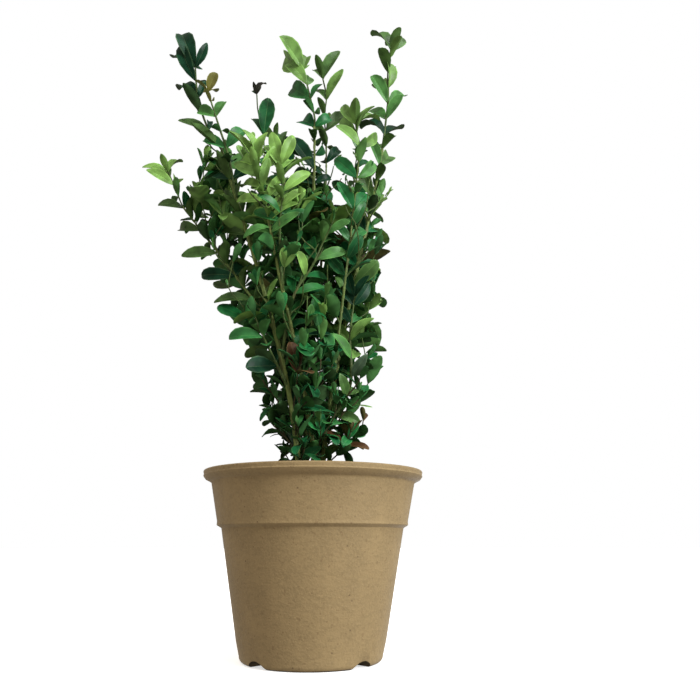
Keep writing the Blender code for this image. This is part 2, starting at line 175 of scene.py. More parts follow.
# The suns: name, direction they shine from, strength and softness in degrees.
SUNS = (
    ("key", (0.770, -0.539, 0.342), 2.9, 20.0),
    ("overhead", (0.321, -0.383, 0.866), 1.1, 36.0),
)
SUN_COLOR = (0.98, 0.99, 1.0)
FLOOR_RADIUS = 4.0


# --------------------------------------------------------------------------- settings


def color_setting(name, description, default):
    """Return a colour that a user can change."""
    return FloatVectorProperty(
        name=name, description=description, default=default, min=0.0, max=1.0, subtype="COLOR"
    )


def length_setting(name, description, default):
    """Return a length that a user can change."""
    return FloatProperty(name=name, description=description, default=default, unit="LENGTH")


def count_setting(name, description, default, least, most):
    """Return a number of things that a user can change."""
    return IntProperty(name=name, description=description, default=default, min=least, max=most)


class PotSettings(bpy.types.PropertyGroup):
    """Sizes and finish of the pot and its soil."""

    turned_steps: count_setting("Steps round", "Sections round the turned pot", 128, 24, 256)
    fibre_color: color_setting("Fibre", "Base colour of the pot's tan fibre", (0.256, 0.187, 0.090))
    speck_size: length_setting("Speck size", "Size of the dark flecks in the fibre", 1.3 * MM)
    soil_color: color_setting("Soil", "Base colour of the potting soil", (0.035, 0.022, 0.013))
    soil_unevenness: length_setting("Soil unevenness", "Height of the soil's lumps", 1.6 * MM)
    soil_grains: count_setting("Soil grains", "Number of loose crumbs on the soil", 520, 0, 2000)


class LimbSettings(bpy.types.PropertyGroup):
    """Bark of the stems, boughs and twigs."""

    bark_relief: length_setting("Bark relief", "Depth of the bark's unevenness", 0.22 * MM)
    stem_color: color_setting("Stem", "Colour of the stems' olive bark", (0.160, 0.225, 0.060))
    foot_color: color_setting("Stem foot", "Colour of the old bark at the feet", (0.110, 0.088, 0.028))
    twig_color: color_setting("Twig", "Colour of the young green twigs", (0.070, 0.120, 0.030))


class CrownSettings(bpy.types.PropertyGroup):
    """How the twigs and leaves grow."""

    seed: count_setting("Seed", "Start of the random draws for the whole crown", 11, 0, 1000)
    twig_spacing: length_setting("Twig spacing", "Least distance between two twigs' tips", 8.0 * MM)
    pair_spacing: length_setting("Pair spacing", "Distance between pairs of leaves on a twig", 6.6 * MM)
    leaf_length: length_setting("Leaf length", "Length of a full-grown leaf and its stalk", 16.0 * MM)


# --------------------------------------------------------------------------- materials


class Wire:
    """A value in a node tree that takes part in arithmetic by adding Math nodes."""

    def __init__(self, nodes, socket):
        self.nodes = nodes
        self.socket = socket

    def __add__(self, other):
        return self.nodes.maths("ADD", self, other)

    def __mul__(self, other):
        return self.nodes.maths("MULTIPLY", self, other)

    __radd__ = __add__
    __rmul__ = __mul__


class Nodes:
    """A node tree while it is put together."""

    def __init__(self, tree):
        self.tree = tree
        tree.nodes.clear()

    def node(self, kind, settings=None, sockets=None, output=0):
        """Add a node, its settings first and then its sockets' values or links; return an output."""
        made = self.tree.nodes.new(kind)
        for name, value in (settings or {}).items():
            setattr(made, name, value)
        for name, value in (sockets or {}).items():
            if isinstance(value, Wire):
                self.tree.links.new(value.socket, made.inputs[name])
            else:
                made.inputs[name].default_value = value
        return Wire(self, made.outputs[output]) if made.outputs else None

    def maths(self, operation, *values):
        """Return the outcome of a Math node."""
        return self.node("ShaderNodeMath", {"operation": operation}, dict(enumerate(values)))


class Finish(Nodes):
    """A procedural material while it is put together."""

    def __init__(self, name):
        self.material = bpy.data.materials.new(name)
        self.material.use_nodes = True
        super().__init__(self.material.node_tree)
        self.place = self.node("ShaderNodeTexCoord", output="Object")

    def stretched(self, factors):
        """Return the object's coordinates, multiplied along each axis."""
        return self.node("ShaderNodeMapping", None, {"Vector": self.place, "Scale": factors})

    def clouds(self, size, detail=3.0, place=None):
        """Return soft noise from 0 to 1 with features about a size across."""
        sockets = {"Vector": place or self.place, "Scale": 1.0 / size, "Detail": detail}
        return self.node("ShaderNodeTexNoise", {"noise_dimensions": "3D"}, sockets, "Fac")

    def cells(self, size, place=None):
        """Return the distance to the nearest of scattered points a size apart."""
        sockets = {"Vector": place or self.place, "Scale": 1.0 / size}
        return self.node("ShaderNodeTexVoronoi", {"feature": "F1"}, sockets, "Distance")

    def between(self, value, low, high):
        """Return how far a value has come from low to high, kept from 0 to 1."""
        settings = {"interpolation_type": "SMOOTHSTEP"}
        sockets = {"Value": value, "From Min": low, "From Max": high}
        return self.node("ShaderNodeMapRange", settings, sockets, "Result")

    def blend(self, share, first, second):
        """Return the mix of two colours, each a triple or a link."""
        colors = [c if isinstance(c, Wire) else (*c, 1.0) for c in (first, second)]
        sockets = {0: share, 6: colors[0], 7: colors[1]}
        return self.node("ShaderNodeMix", {"data_type": "RGBA"}, sockets, 2)

    def height(self):
        """Return the height above the floor."""
        return self.node("ShaderNodeSeparateXYZ", None, {0: self.place}, "Z")

    def surface(self, color, roughness, relief=None, relief_depth=0.0, **fixed):
        """Close the material with a Principled shader, and return it."""
        sockets = {"Base Color": color, "Roughness": roughness}
        if not isinstance(color, Wire):
            sockets["Base Color"] = (*color, 1.0)
        if relief is not None:
            bump = {"Strength": 1.0, "Distance": relief_depth, "Height": relief}
            sockets["Normal"] = self.node("ShaderNodeBump", None, bump, "Normal")
        for name, value in fixed.items():
            sockets[name.replace("_", " ").title().replace("Ior", "IOR")] = value
        shader = self.node("ShaderNodeBsdfPrincipled", None, sockets)
        self.node("ShaderNodeOutputMaterial", None, {"Surface": shader})
        return self.material


def shaded(color, factor):
    """Return a colour made lighter or darker."""
    return tuple(min(1.0, channel * factor) for channel in color)


def mixed(first, second, share):
    """Return a colour part of the way from one colour to another."""
    return tuple(a + (b - a) * share for a, b in zip(first, second))


def fibre_finish(settings):
    """Matt moulded plant fibre: mottled tan with fine brown and pale specks."""
    finish = Finish("tan_fibre")
    tan = tuple(settings.fibre_color)
    mottle = finish.between(finish.clouds(11 * MM, 4.0), 0.35, 0.68)
    color = finish.blend(mottle, shaded(tan, 0.92), shaded(tan, 1.07))
    blotches = finish.between(finish.clouds(3.2 * MM, 3.0, finish.stretched((1.0, 1.0, 2.0))), 0.42, 0.70)
    color = finish.blend(blotches * 0.50, color, shaded(tan, 0.80))
    grain = finish.between(finish.clouds(0.9 * MM, 3.0), 0.34, 0.68)
    color = finish.blend(grain * 0.50, color, shaded(tan, 1.16))
    flecks = finish.between(finish.clouds(settings.speck_size, 2.0), 0.63, 0.72)
    color = finish.blend(flecks * 0.45, color, (0.150, 0.092, 0.042))
    dots = finish.between(finish.cells(4.6 * settings.speck_size), 0.070, 0.035)
    color = finish.blend(dots * 0.70, color, (0.085, 0.050, 0.026))
    uneven = finish.stretched((1.1, 0.9, 1.3))
    pale = finish.between(finish.cells(1.3 * settings.speck_size, uneven), 0.22, 0.10)
    color = finish.blend(pale * 0.35, color, shaded(tan, 1.40))
    relief = grain * 0.7 + mottle + blotches
    roughness = 0.60 + 0.16 * finish.clouds(3 * MM)
    cloth = {"sheen_weight": 0.22, "sheen_roughness": 0.35}
    return finish.surface(color, roughness, relief, 0.05 * MM, specular_ior_level=0.30, **cloth)


def notch_shade_finish(settings):
    """Painted shade: the same fibre made very dark, inside the notches and drain holes, under the pot and
    along the foot's lowest edge.
    """
    finish = Finish("fibre_painted_shade")
    tan = tuple(settings.fibre_color)
    shade_mottle = finish.between(finish.clouds(4 * MM), 0.3, 0.7)
    # Very dark copies of the tan stand for the shade in the recesses, patchy at random.
    color = finish.blend(shade_mottle, shaded(tan, 0.10), shaded(tan, 0.22))
    return finish.surface(color, 0.75, shade_mottle, 0.05 * MM, specular_ior_level=0.20)


def soil_finish(settings):
    """Dark crumbly peat with paler fibres."""
    finish = Finish("peat")
    brown = tuple(settings.soil_color)
    crumbs = finish.between(finish.clouds(2.2 * MM, 5.0), 0.30, 0.70)
    color = finish.blend(crumbs, shaded(brown, 0.45), shaded(brown, 1.5))
    fibres = finish.between(finish.clouds(0.8 * MM, 2.0, finish.stretched((3.0, 0.6, 1.0))), 0.62, 0.75)
    color = finish.blend(fibres * 0.6, color, (0.150, 0.100, 0.055))
    return finish.surface(color, 0.85 + 0.1 * crumbs, crumbs, 0.6 * MM, specular_ior_level=0.2)


def bark_finish(name, settings, upper, foot_top):
    """Olive bark with pale grooves, which turns brown and cracked towards the soil."""
    finish = Finish(name)
    foot = tuple(settings.foot_color)
    along = finish.stretched((1.0, 1.0, 0.22))
    strips = finish.between(finish.clouds(1.0 * MM, 4.0, along), 0.34, 0.66)
    young = finish.blend(strips, shaded(upper, 0.66), shaded(upper, 1.25))
    old = finish.blend(strips, shaded(foot, 0.45), shaded(foot, 1.5))
    height = finish.height() + 7 * MM * finish.clouds(6 * MM)
    age = finish.between(height, foot_top, foot_top - 13 * MM)
    color = finish.blend(age, young, old)
    pores = finish.between(finish.cells(1.5 * MM, along), 0.16, 0.07)
    color = finish.blend(pores * 0.5, color, (0.260, 0.210, 0.120))
    patches = finish.between(finish.clouds(7 * MM, 2.0), 0.55, 0.75)
    color = finish.blend(patches * 0.22, color, (0.160, 0.070, 0.025))
    return finish.surface(color, 0.55 + 0.2 * strips, strips, 0.16 * MM, specular_ior_level=0.35)


def leaf_finish(name, color, roughness, specular):
    """One face of the leaves: a plain base colour with an uneven waxy gloss."""
    finish = Finish(name)
    wax = finish.clouds(5 * MM, 1.0)
    shade = finish.blend(finish.between(wax, 0.3, 0.7), shaded(color, 0.70), shaded(color, 1.30))
    gloss = roughness - 0.06 + 0.12 * wax
    return finish.surface(shade, gloss, wax, 0.05 * MM, specular_ior_level=specular)


# --------------------------------------------------------------------------- modelling helpers


def deselect_all():
    """Leave edit mode and select nothing."""
    if bpy.context.object is not None and bpy.context.object.mode != "OBJECT":
        bpy.ops.object.mode_set(mode="OBJECT")
    bpy.ops.object.select_all(action="DESELECT")


def name_active(name):
    """Name the object that a primitive operator just added, and return it."""
    made = bpy.context.object
    made.name = name
    made.data.name = name
    return made


def choose(made, kind, test):
    """In edit mode, select only the elements of a kind that pass a test."""
    bpy.ops.mesh.select_all(action="DESELECT")
    shape = bmesh.from_edit_mesh(made.data)
    elements = {"VERT": shape.verts, "EDGE": shape.edges, "FACE": shape.faces}[kind]
    for element in elements:
        if test(element):
            element.select_set(True)
    shape.select_flush_mode()
    bmesh.update_edit_mesh(made.data)


def select_by(kind):
    """Choose what edit mode selects: VERT, EDGE or FACE."""
    bpy.ops.mesh.select_mode(type=kind)


def activate(made):
    """Select one object alone, and make it the active one."""
    deselect_all()
    made.select_set(True)
    bpy.context.view_layer.objects.active = made


def settle(made):
    """Bring an object's place into its mesh."""
    activate(made)
    bpy.ops.object.transform_apply(location=True, rotation=True, scale=True)


def apply_modifiers(made):
    """Apply every modifier of an object, in order."""
    activate(made)
    for modifier in list(made.modifiers):
        bpy.ops.object.modifier_apply(modifier=modifier.name)


def smooth(made, degrees):
    """Shade an object smooth, with edges sharper than an angle left sharp."""
    activate(made)
    bpy.ops.object.shade_smooth_by_angle(angle=math.radians(degrees), keep_sharp_edges=True)


def arc(centre, radius, start_degrees, end_degrees, steps):
    """Return points (radius, height) along an arc, its two ends included."""
    angles = np.radians(np.linspace(start_degrees, end_degrees, steps + 1))
    return [(centre[0] + radius * math.cos(a), centre[1] + radius * math.sin(a)) for a in angles]


def turned(name, outline, steps):
    """Draw an outline of (radius, height) points by extrusion, and spin it round the axis."""
    deselect_all()
    bpy.ops.mesh.primitive_plane_add(size=MM, location=(0.0, 0.0, 0.0))
    made = name_active(name)
    bpy.ops.object.mode_set(mode="EDIT")
    select_by("VERT")
    bpy.ops.mesh.select_all(action="SELECT")
    bpy.ops.mesh.merge(type="CENTER")
    bpy.ops.transform.translate(value=(outline[0][0], 0.0, outline[0][1]))
    for (radius, height), (next_radius, next_height) in zip(outline, outline[1:]):
        step = (next_radius - radius, 0.0, next_height - height)
        bpy.ops.mesh.extrude_vertices_move(TRANSFORM_OT_translate={"value": step})
    bpy.ops.mesh.select_all(action="SELECT")
    bpy.ops.mesh.spin(steps=steps, angle=2.0 * math.pi, center=(0, 0, 0), axis=(0, 0, 1))
    bpy.ops.mesh.select_all(action="SELECT")
    bpy.ops.mesh.remove_doubles(threshold=PROFILE_MERGE)
    bpy.ops.mesh.normals_make_consistent(inside=False)
    bpy.ops.object.mode_set(mode="OBJECT")
    return made


def cut_away(made, cutters):
    """Cut objects out of another, and remove them."""
    for cutter in cutters:
        modifier = made.modifiers.new("cut", "BOOLEAN")
        modifier.operation = "DIFFERENCE"
        modifier.solver = "EXACT"
        modifier.object = cutter
    apply_modifiers(made)
    for cutter in cutters:
        bpy.data.objects.remove(cutter, do_unlink=True)


def joined_mesh(name, vertices, faces, finishes, finish_of_face, crease_degrees):
    """Return an object made of joined arrays of many small shapes."""
    mesh = bpy.data.meshes.new(name)
    mesh.from_pydata(vertices.tolist(), [], faces)
    for material in finishes:
        mesh.materials.append(material)
    mesh.polygons.foreach_set("material_index", finish_of_face)
    made = bpy.data.objects.new(name, mesh)
    bpy.context.scene.collection.objects.link(made)
    smooth(made, crease_degrees)
    return made


def hand_over(made, slot, *nodes):
    """Let a piece ride with the pot and stand for its CAD nodes, whose solids it hides; the slot is not
    used.
    """
    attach(made, BODY)
    if nodes:
        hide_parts(*nodes)


# --------------------------------------------------------------------------- pot and soil


def inner_wall():
    """Return the pot's inner wall as (radius, height), from the floor up to the rim."""
    return [
        (BODY_FOOT_RADIUS - WALL, FLOOR_THICKNESS),
        (BODY_TOP_RADIUS - WALL, STEP_HEIGHT),
        (COLLAR_FOOT_RADIUS - WALL, STEP_HEIGHT + STEP_WIDTH),
        (COLLAR_TOP_RADIUS - WALL, POT_HIGH.z - INNER_RIM_EDGE),
    ]


def wall_radius(height):
    """Return the radius of the pot's inner wall at a height."""
    radii, heights = zip(*inner_wall())
    return float(np.interp(height, heights, radii))


def pot_outline():
    """Return the pot's whole outline, from its floor round the rim to the underside."""
    rim = POT_HIGH.x
    top = POT_HIGH.z
    inner_edge = (COLLAR_TOP_RADIUS - WALL + INNER_RIM_EDGE, top - INNER_RIM_EDGE)
    lip_top = (rim - RIM_EDGE, top - RIM_EDGE)
    bead = (rim - LIP_BEAD - LIP_BEAD_LEAN, top - LIP_FACE + LIP_BEAD)
    cove = (COLLAR_TOP_RADIUS + LIP_COVE, top - LIP_COVE_DEPTH)
    step_edge = (COLLAR_FOOT_RADIUS - STEP_FILLET, STEP_HEIGHT + STEP_WIDTH - STEP_FILLET)
    step_root = (BODY_TOP_RADIUS + STEP_FILLET, STEP_HEIGHT - STEP_FILLET)
    foot = (BODY_FOOT_RADIUS - FOOT_FILLET, FOOT_FILLET)
    outline = [(0.0, FLOOR_THICKNESS)]
    outline += inner_wall()[:-1]
    outline += arc(inner_edge, INNER_RIM_EDGE, 180.0, 90.0, 5)
    outline += arc(lip_top, RIM_EDGE, 90.0, -5.0, 6)
    outline.append((rim - LIP_GROOVE, top - LIP_GROOVE_DEPTH))
    outline += arc(bead, LIP_BEAD, 50.0, -50.0, 5)
    outline.append((rim - LIP_UNDERSIDE_LEAN, top - LIP_UNDERSIDE_DEPTH))
    outline += arc(cove, LIP_COVE, LIP_COVE_START_DEGREES, 180.0, 5)
    outline.append((COLLAR_FOOT_RADIUS - COLLAR_DRAW_IN, step_edge[1] + COLLAR_DRAW_IN_RISE))
    outline += arc(step_edge, STEP_FILLET, 20.0, -48.0, 4)
    outline += arc(step_root, STEP_FILLET, 128.0, 180.0, 4)
    flare = BODY_TOP_RADIUS - BODY_FOOT_RADIUS
    outline.append((BODY_FOOT_RADIUS + LOW_RING_SHARE * flare, LOW_RING_SHARE * STEP_HEIGHT))
    outline += arc(foot, FOOT_FILLET, 0.0, -90.0, 9)
    outline.append((0.0, 0.0))
    return outline


def notch_cutter(angle):
    """Return a lying cylinder whose top arches a notch into the foot."""
    arch = (0.25 * NOTCH_WIDTH**2 + NOTCH_HEIGHT**2) / (2.0 * NOTCH_HEIGHT)
    length = POT_HIGH.x - NOTCH_INNER_RADIUS
    middle = NOTCH_INNER_RADIUS + 0.5 * length
    deselect_all()
    bpy.ops.mesh.primitive_cylinder_add(
        vertices=NOTCH_SIDES,
        radius=arch,
        depth=length,
        location=(middle * math.cos(angle), middle * math.sin(angle), NOTCH_HEIGHT - arch),
        rotation=(0.0, 0.5 * math.pi, angle),
    )
    return name_active("notch_cutter")


def drain_cutter(angle):
    """Return an upright cylinder that cuts a drain hole."""
    deselect_all()
    bpy.ops.mesh.primitive_cylinder_add(
        vertices=DRAIN_HOLE_SIDES,
        radius=DRAIN_HOLE_RADIUS,
        depth=4.0 * FLOOR_THICKNESS,
        location=(DRAIN_HOLE_CIRCLE * math.cos(angle), DRAIN_HOLE_CIRCLE * math.sin(angle), 0.0),
    )
    return name_active("drain_cutter")


def is_inside_notch(face):
    """Tell whether a face of the pot takes the painted shade: in a notch or a drain hole, under the pot, or
    on the foot's lowest down-turned rounding.
    """
    middle = face.calc_center_median()
    if middle.z > 1.1 * NOTCH_HEIGHT:
        return False
    outwards = Vector((middle.x, middle.y, 0.0)).normalized()
    sideways = face.normal.dot(outwards) < 0.60
    return sideways and middle.xy.length < BODY_FOOT_RADIUS


def make_pot(settings):
    """Turn the pot, cut its notches and drain holes, and soften their edges."""
    pot = turned("fibre_pot", pot_outline(), settings.turned_steps)
    angles = [math.radians(degrees - 90.0) for degrees in NOTCH_ANGLES]
    cut_away(pot, [notch_cutter(angle) for angle in angles] + [drain_cutter(a) for a in angles])
    bevel = pot.modifiers.new("soft_edges", "BEVEL")
    bevel.width = NOTCH_EDGE
    bevel.segments = 2
    bevel.limit_method = "ANGLE"
    bevel.angle_limit = SOFT_EDGE_ANGLE
    bevel.use_clamp_overlap = True
    apply_modifiers(pot)
    pot.data.materials.clear()
    pot.data.materials.append(fibre_finish(settings))
    pot.data.materials.append(notch_shade_finish(settings))
    bpy.ops.object.mode_set(mode="EDIT")
    select_by("FACE")
    # Faces in the notches, the drain holes, under the pot and on the foot's lowest edge get the painted
    # shade.
    choose(pot, "FACE", is_inside_notch)
    pot.active_material_index = 1
    bpy.ops.object.material_slot_assign()
    bpy.ops.object.mode_set(mode="OBJECT")
    smooth(pot, 42.0)
    hand_over(pot, "pot_fibre", "pot")


def soil_height(x, y, unevenness):
    """Return the height of the soil's surface at a place."""
    place = Vector((x, y, 0.0))
    lumps = noise.noise(place / (9 * MM)) + 0.55 * noise.noise(place / (3.2 * MM))
    crumbs = 0.30 * noise.noise(place / (1.3 * MM))
    return SOIL_HIGH.z + unevenness * 0.5 * (lumps + crumbs - 0.2)


def make_soil(settings):
    """Fill the pot with a plug whose top is uneven and crumbly."""
    radius = wall_radius(SOIL_HIGH.z) - SOIL_TOP_GAP
    deselect_all()
    bpy.ops.mesh.primitive_grid_add(
        x_subdivisions=SOIL_GRID,
        y_subdivisions=SOIL_GRID,
        size=2.0 * radius,
        location=(0.0, 0.0, SOIL_HIGH.z),
    )
    soil = name_active("potting_soil")
    settle(soil)
    bpy.ops.object.mode_set(mode="EDIT")
    select_by("VERT")
    choose(soil, "VERT", lambda v: v.co.xy.length > radius - 0.2 * MM)
    bpy.ops.mesh.delete(type="VERT")
    select_by("EDGE")
    choose(soil, "EDGE", lambda e: len(e.link_faces) == 1)
    height, was = SOIL_HIGH.z, radius
    for ring in SOIL_RINGS:
        inner = wall_radius(ring * MM) - SOIL_WALL_GAP
        fall = (0.0, 0.0, ring * MM - height)
        bpy.ops.mesh.extrude_region_move(TRANSFORM_OT_translate={"value": fall})
        bpy.ops.transform.resize(value=(inner / was, inner / was, 1.0), center_override=(0, 0, 0))
        height, was = ring * MM, inner
    bpy.ops.mesh.edge_face_add()
    bpy.ops.object.mode_set(mode="OBJECT")
    for vertex in soil.data.vertices:
        if vertex.co.z > SOIL_HIGH.z - MM:
            vertex.co.z = soil_height(vertex.co.x, vertex.co.y, settings.soil_unevenness)
            outwards = radius / max(vertex.co.xy.length, MM)
            if outwards < 1.03:
                vertex.co.x *= outwards
                vertex.co.y *= outwards
    bpy.ops.object.mode_set(mode="EDIT")
    bpy.ops.mesh.select_all(action="SELECT")
    bpy.ops.mesh.normals_make_consistent(inside=False)
    bpy.ops.object.mode_set(mode="OBJECT")
    smooth(soil, 60.0)
    soil.data.materials.append(soil_finish(settings))
    hand_over(soil, "soil", "soil")


def crumb_form():
    """Return the vertices and faces of one soil crumb, about one unit across."""
    deselect_all()
    bpy.ops.mesh.primitive_ico_sphere_add(subdivisions=1, radius=0.5)
    crumb = name_active("crumb")
    bpy.ops.object.mode_set(mode="EDIT")
    choose(crumb, "FACE", lambda f: f.normal.z > 0.6)
    bpy.ops.mesh.extrude_region_move(TRANSFORM_OT_translate={"value": (0.05, 0.0, 0.12)})
    bpy.ops.transform.resize(value=(0.6, 0.7, 1.0))
    bpy.ops.object.mode_set(mode="OBJECT")
    vertices = np.array([v.co for v in crumb.data.vertices])
    faces = [tuple(f.vertices) for f in crumb.data.polygons]
    bpy.data.objects.remove(crumb, do_unlink=True)
    return vertices, faces


def make_crumbs(settings, seed):
    """Scatter loose crumbs over the soil, joined into one piece."""
    draw = np.random.default_rng(seed)
    form, form_faces = crumb_form()
    reach = wall_radius(SOIL_HIGH.z) - 2.5 * MM
    vertices, faces = [], []
    for index in range(settings.soil_grains):
        radius = reach * math.sqrt(draw.random())
        turn = draw.random() * 2.0 * math.pi
        x, y = radius * math.cos(turn), radius * math.sin(turn)
        size = MM * draw.uniform(0.5, 1.0) * CRUMB_SIZES[int(draw.random() < LARGE_CRUMBS)]
        basis = np.linalg.qr(draw.normal(size=(3, 3)))[0]
        if np.linalg.det(basis) < 0.0:
            basis[:, 0] *= -1.0
        local = form * np.array((1.0, draw.uniform(0.6, 1.0), draw.uniform(0.45, 0.8))) * size
        height = soil_height(x, y, settings.soil_unevenness) + 0.18 * size
        vertices.append(local @ basis.T + np.array((x, y, height)))
        faces += [tuple(corner + index * len(form) for corner in face) for face in form_faces]
    peat = [soil_finish(settings)]
    crumbs = joined_mesh("soil_crumbs", np.concatenate(vertices), faces, peat, [0] * len(faces), 50.0)
    hand_over(crumbs, "soil")


# --------------------------------------------------------------------------- limbs


def unit(vector):
    """Return a vector, or each row of an array, at length one."""
    return vector / np.maximum(np.linalg.norm(vector, axis=-1, keepdims=True), 1e-12)


def millimetres(*values):
    """Return a point in metres from values in millimetres."""
    return np.array(values, float) * MM


def bezier(controls, shares):
    """Return the points of a cubic curve at shares of its way."""
    share = np.asarray(shares, float)[:, None]
    back = 1.0 - share
    foot, lead, near, end = controls
    return (
        back**3 * foot
        + 3.0 * back**2 * share * lead
        + 3.0 * back * share**2 * near
        + share**3 * end
    )


def through(points, samples):
    """Return a smooth line through points, by cubic arcs whose tangents follow the neighbours."""
    points = np.asarray(points, float)
    ahead = np.vstack((points[1:], 2 * points[-1] - points[-2]))
    behind = np.vstack((2 * points[0] - points[1], points[:-1]))
    tangents = 0.5 * (ahead - behind)
    line = [points[:1]]
    for start, stop, leave, arrive in zip(points, points[1:], tangents, tangents[1:]):
        controls = (start, start + leave / 3.0, stop - arrive / 3.0, stop)
        line.append(bezier(controls, np.linspace(0.0, 1.0, samples + 1)[1:]))
    return np.vstack(line)


class Shoot:
    """A limb, leading shoot or twig: an evenly stepped centre line with its radii."""

    STEP = 1.5 * MM

    def __init__(self, name, line, foot_radius, tip_radius, parent=None):
        self.name = name
        self.parent = parent
        lengths = np.concatenate(([0.0], np.cumsum(np.linalg.norm(np.diff(line, axis=0), axis=1))))
        self.length = lengths[-1]
        count = max(4, int(round(self.length / self.STEP)) + 1)
        self.travel = np.linspace(0.0, self.length, count)
        self.points = np.stack([np.interp(self.travel, lengths, line[:, k]) for k in range(3)], 1)
        self.tangents = unit(np.gradient(self.points, axis=0))
        self.radii = np.linspace(foot_radius, tip_radius, count)

    def at(self, travel):
        """Return the point and the direction at a distance from the foot."""
        point = np.array([np.interp(travel, self.travel, self.points[:, k]) for k in range(3)])
        tangent = np.array([np.interp(travel, self.travel, self.tangents[:, k]) for k in range(3)])
        return point, unit(tangent)

    def travel_at_height(self, height):
        """Return how far along the shoot a height is reached."""
        return float(np.interp(height, self.points[:, 2], self.travel))


STEMS = (
    # name, foot, approach, end, foot radius, end radius (millimetres)
    ("stem_left", (-5.8, -11.5), (-10.0, 1.5, 36.0), (-45.0, -9.0, 222.0), 1.9, 0.95),
    ("stem_centre", (-3.6, 1.5), (-1.0, 1.0, 40.0), (-2.0, 5.0, 244.0), 1.7, 0.85),
    ("stem_right", (3.4, -3.2), (5.0, 0.5, 40.0), (31.5, 2.6, 232.0), 1.8, 0.95),
    ("stem_front", (0.9, -9.9), (-5.0, -3.0, 34.0), (-22.0, -23.5, 186.0), 1.5, 0.8),
    ("stem_back", (-3.0, 9.4), (-4.0, 6.0, 40.0), (-18.0, 33.0, 232.0), 1.6, 0.85),
)
BOUGHS = (
    # name, parent, share of the parent's curve, rise, approach, end, foot radius, end radius
    ("bough_far_left", "stem_left", 0.42, (-6, 1, 10), (-9, 1, 12), (-63, 1, 197), 1.0, 0.6),
    ("bough_inner_left", "stem_back", 0.34, (-8, -2, 22), (-3, 1, 34), (-27, 13, 234), 0.9, 0.55),
    ("bough_inner_right", "stem_centre", 0.38, (5, 3, 16), (-1, 1, 34), (4, 16, 244), 1.0, 0.6),
    ("bough_front_right", "stem_right", 0.20, (2, -7, 18), (2, -1, 30), (19, -20, 220), 1.0, 0.6),
    ("bough_back_right", "stem_back", 0.26, (7, 4, 16), (3, 4, 34), (19, 32, 228), 1.0, 0.6),
)


STEM_SAMPLES = 161
BOUGH_SAMPLES = 121


def limb_controls(start, rise, approach, end):
    """Return the four control points of a limb's centre line."""
    stop = millimetres(*end)
    return start, start + rise, stop - millimetres(*approach), stop


@functools.cache
def limbs():
    """Return every stem and bough by name, as a shoot along its curve."""
    plans = {}
    for name, foot, approach, end, *radii in STEMS:
        start = np.array((foot[0] * MM, foot[1] * MM, LIMB_FOOT_HEIGHT))
        rise = STEM_RISE_SHARE * (end[2] * MM - start[2]) * UP
        plans[name] = (limb_controls(start, rise, approach, end), STEM_SAMPLES, radii, None)
    for name, parent, share, rise, approach, end, *radii in BOUGHS:
        fork = bezier(plans[parent][0], [share])[0]
        controls = limb_controls(fork, millimetres(*rise), approach, end)
        plans[name] = (controls, BOUGH_SAMPLES, radii, parent)
    made = {}
    for name, (controls, samples, (foot_radius, end_radius), parent) in plans.items():
        line = bezier(controls, np.linspace(0, 1, samples))
        made[name] = Shoot(name, line, foot_radius * MM, end_radius * MM, parent)
    return made


def section_curve():
    """Return a closed curve for a limb's cross-section: round, with low ridges."""
    curve = bpy.data.curves.new("section", "CURVE")
    curve.dimensions = "2D"
    spline = curve.splines.new("POLY")
    spline.points.add(SECTION_SIDES - 1)
    for index, point in enumerate(spline.points):
        turn = 2.0 * math.pi * index / SECTION_SIDES
        ridges = math.cos(SECTION_RIDGES * turn) + 0.4 * math.cos(7 * turn + 1.0)
        radius = 1.0 + RIDGE_DEPTH * ridges
        point.co = (radius * math.cos(turn), radius * math.sin(turn), 0.0, 1.0)
    spline.use_cyclic_u = True
    holder = bpy.data.objects.new("section", curve)
    bpy.context.scene.collection.objects.link(holder)
    return holder


def limb_radius(limb, travel, flared):
    """Return a limb's radius with the flare at its foot and a swelling at each node."""
    radius = LIMB_SLENDER * float(np.interp(travel, limb.travel, limb.radii))
    if flared:
        height = limb.at(travel)[0][2] - limb.points[0][2]
        flare = max(0.0, 1.0 - height / FLARE_HEIGHT) ** 2
        radius *= 1.0 + (FLARE_FACTOR - 1.0) * flare
    off_node = (travel % NODE_SPACING) - 0.5 * NODE_SPACING
    return radius * (1.0 + NODE_SWELL * math.exp(-((off_node / NODE_REACH) ** 2)))


def bark_textures():
    """Return the coarse and the fine unevenness of the bark."""
    textures = []
    for name, size in (("bark_strips", 2.4 * MM), ("bark_grain", 0.9 * MM)):
        texture = bpy.data.textures.new(name, "CLOUDS")
        texture.noise_scale = size
        texture.noise_depth = 2
        textures.append(texture)
    return textures


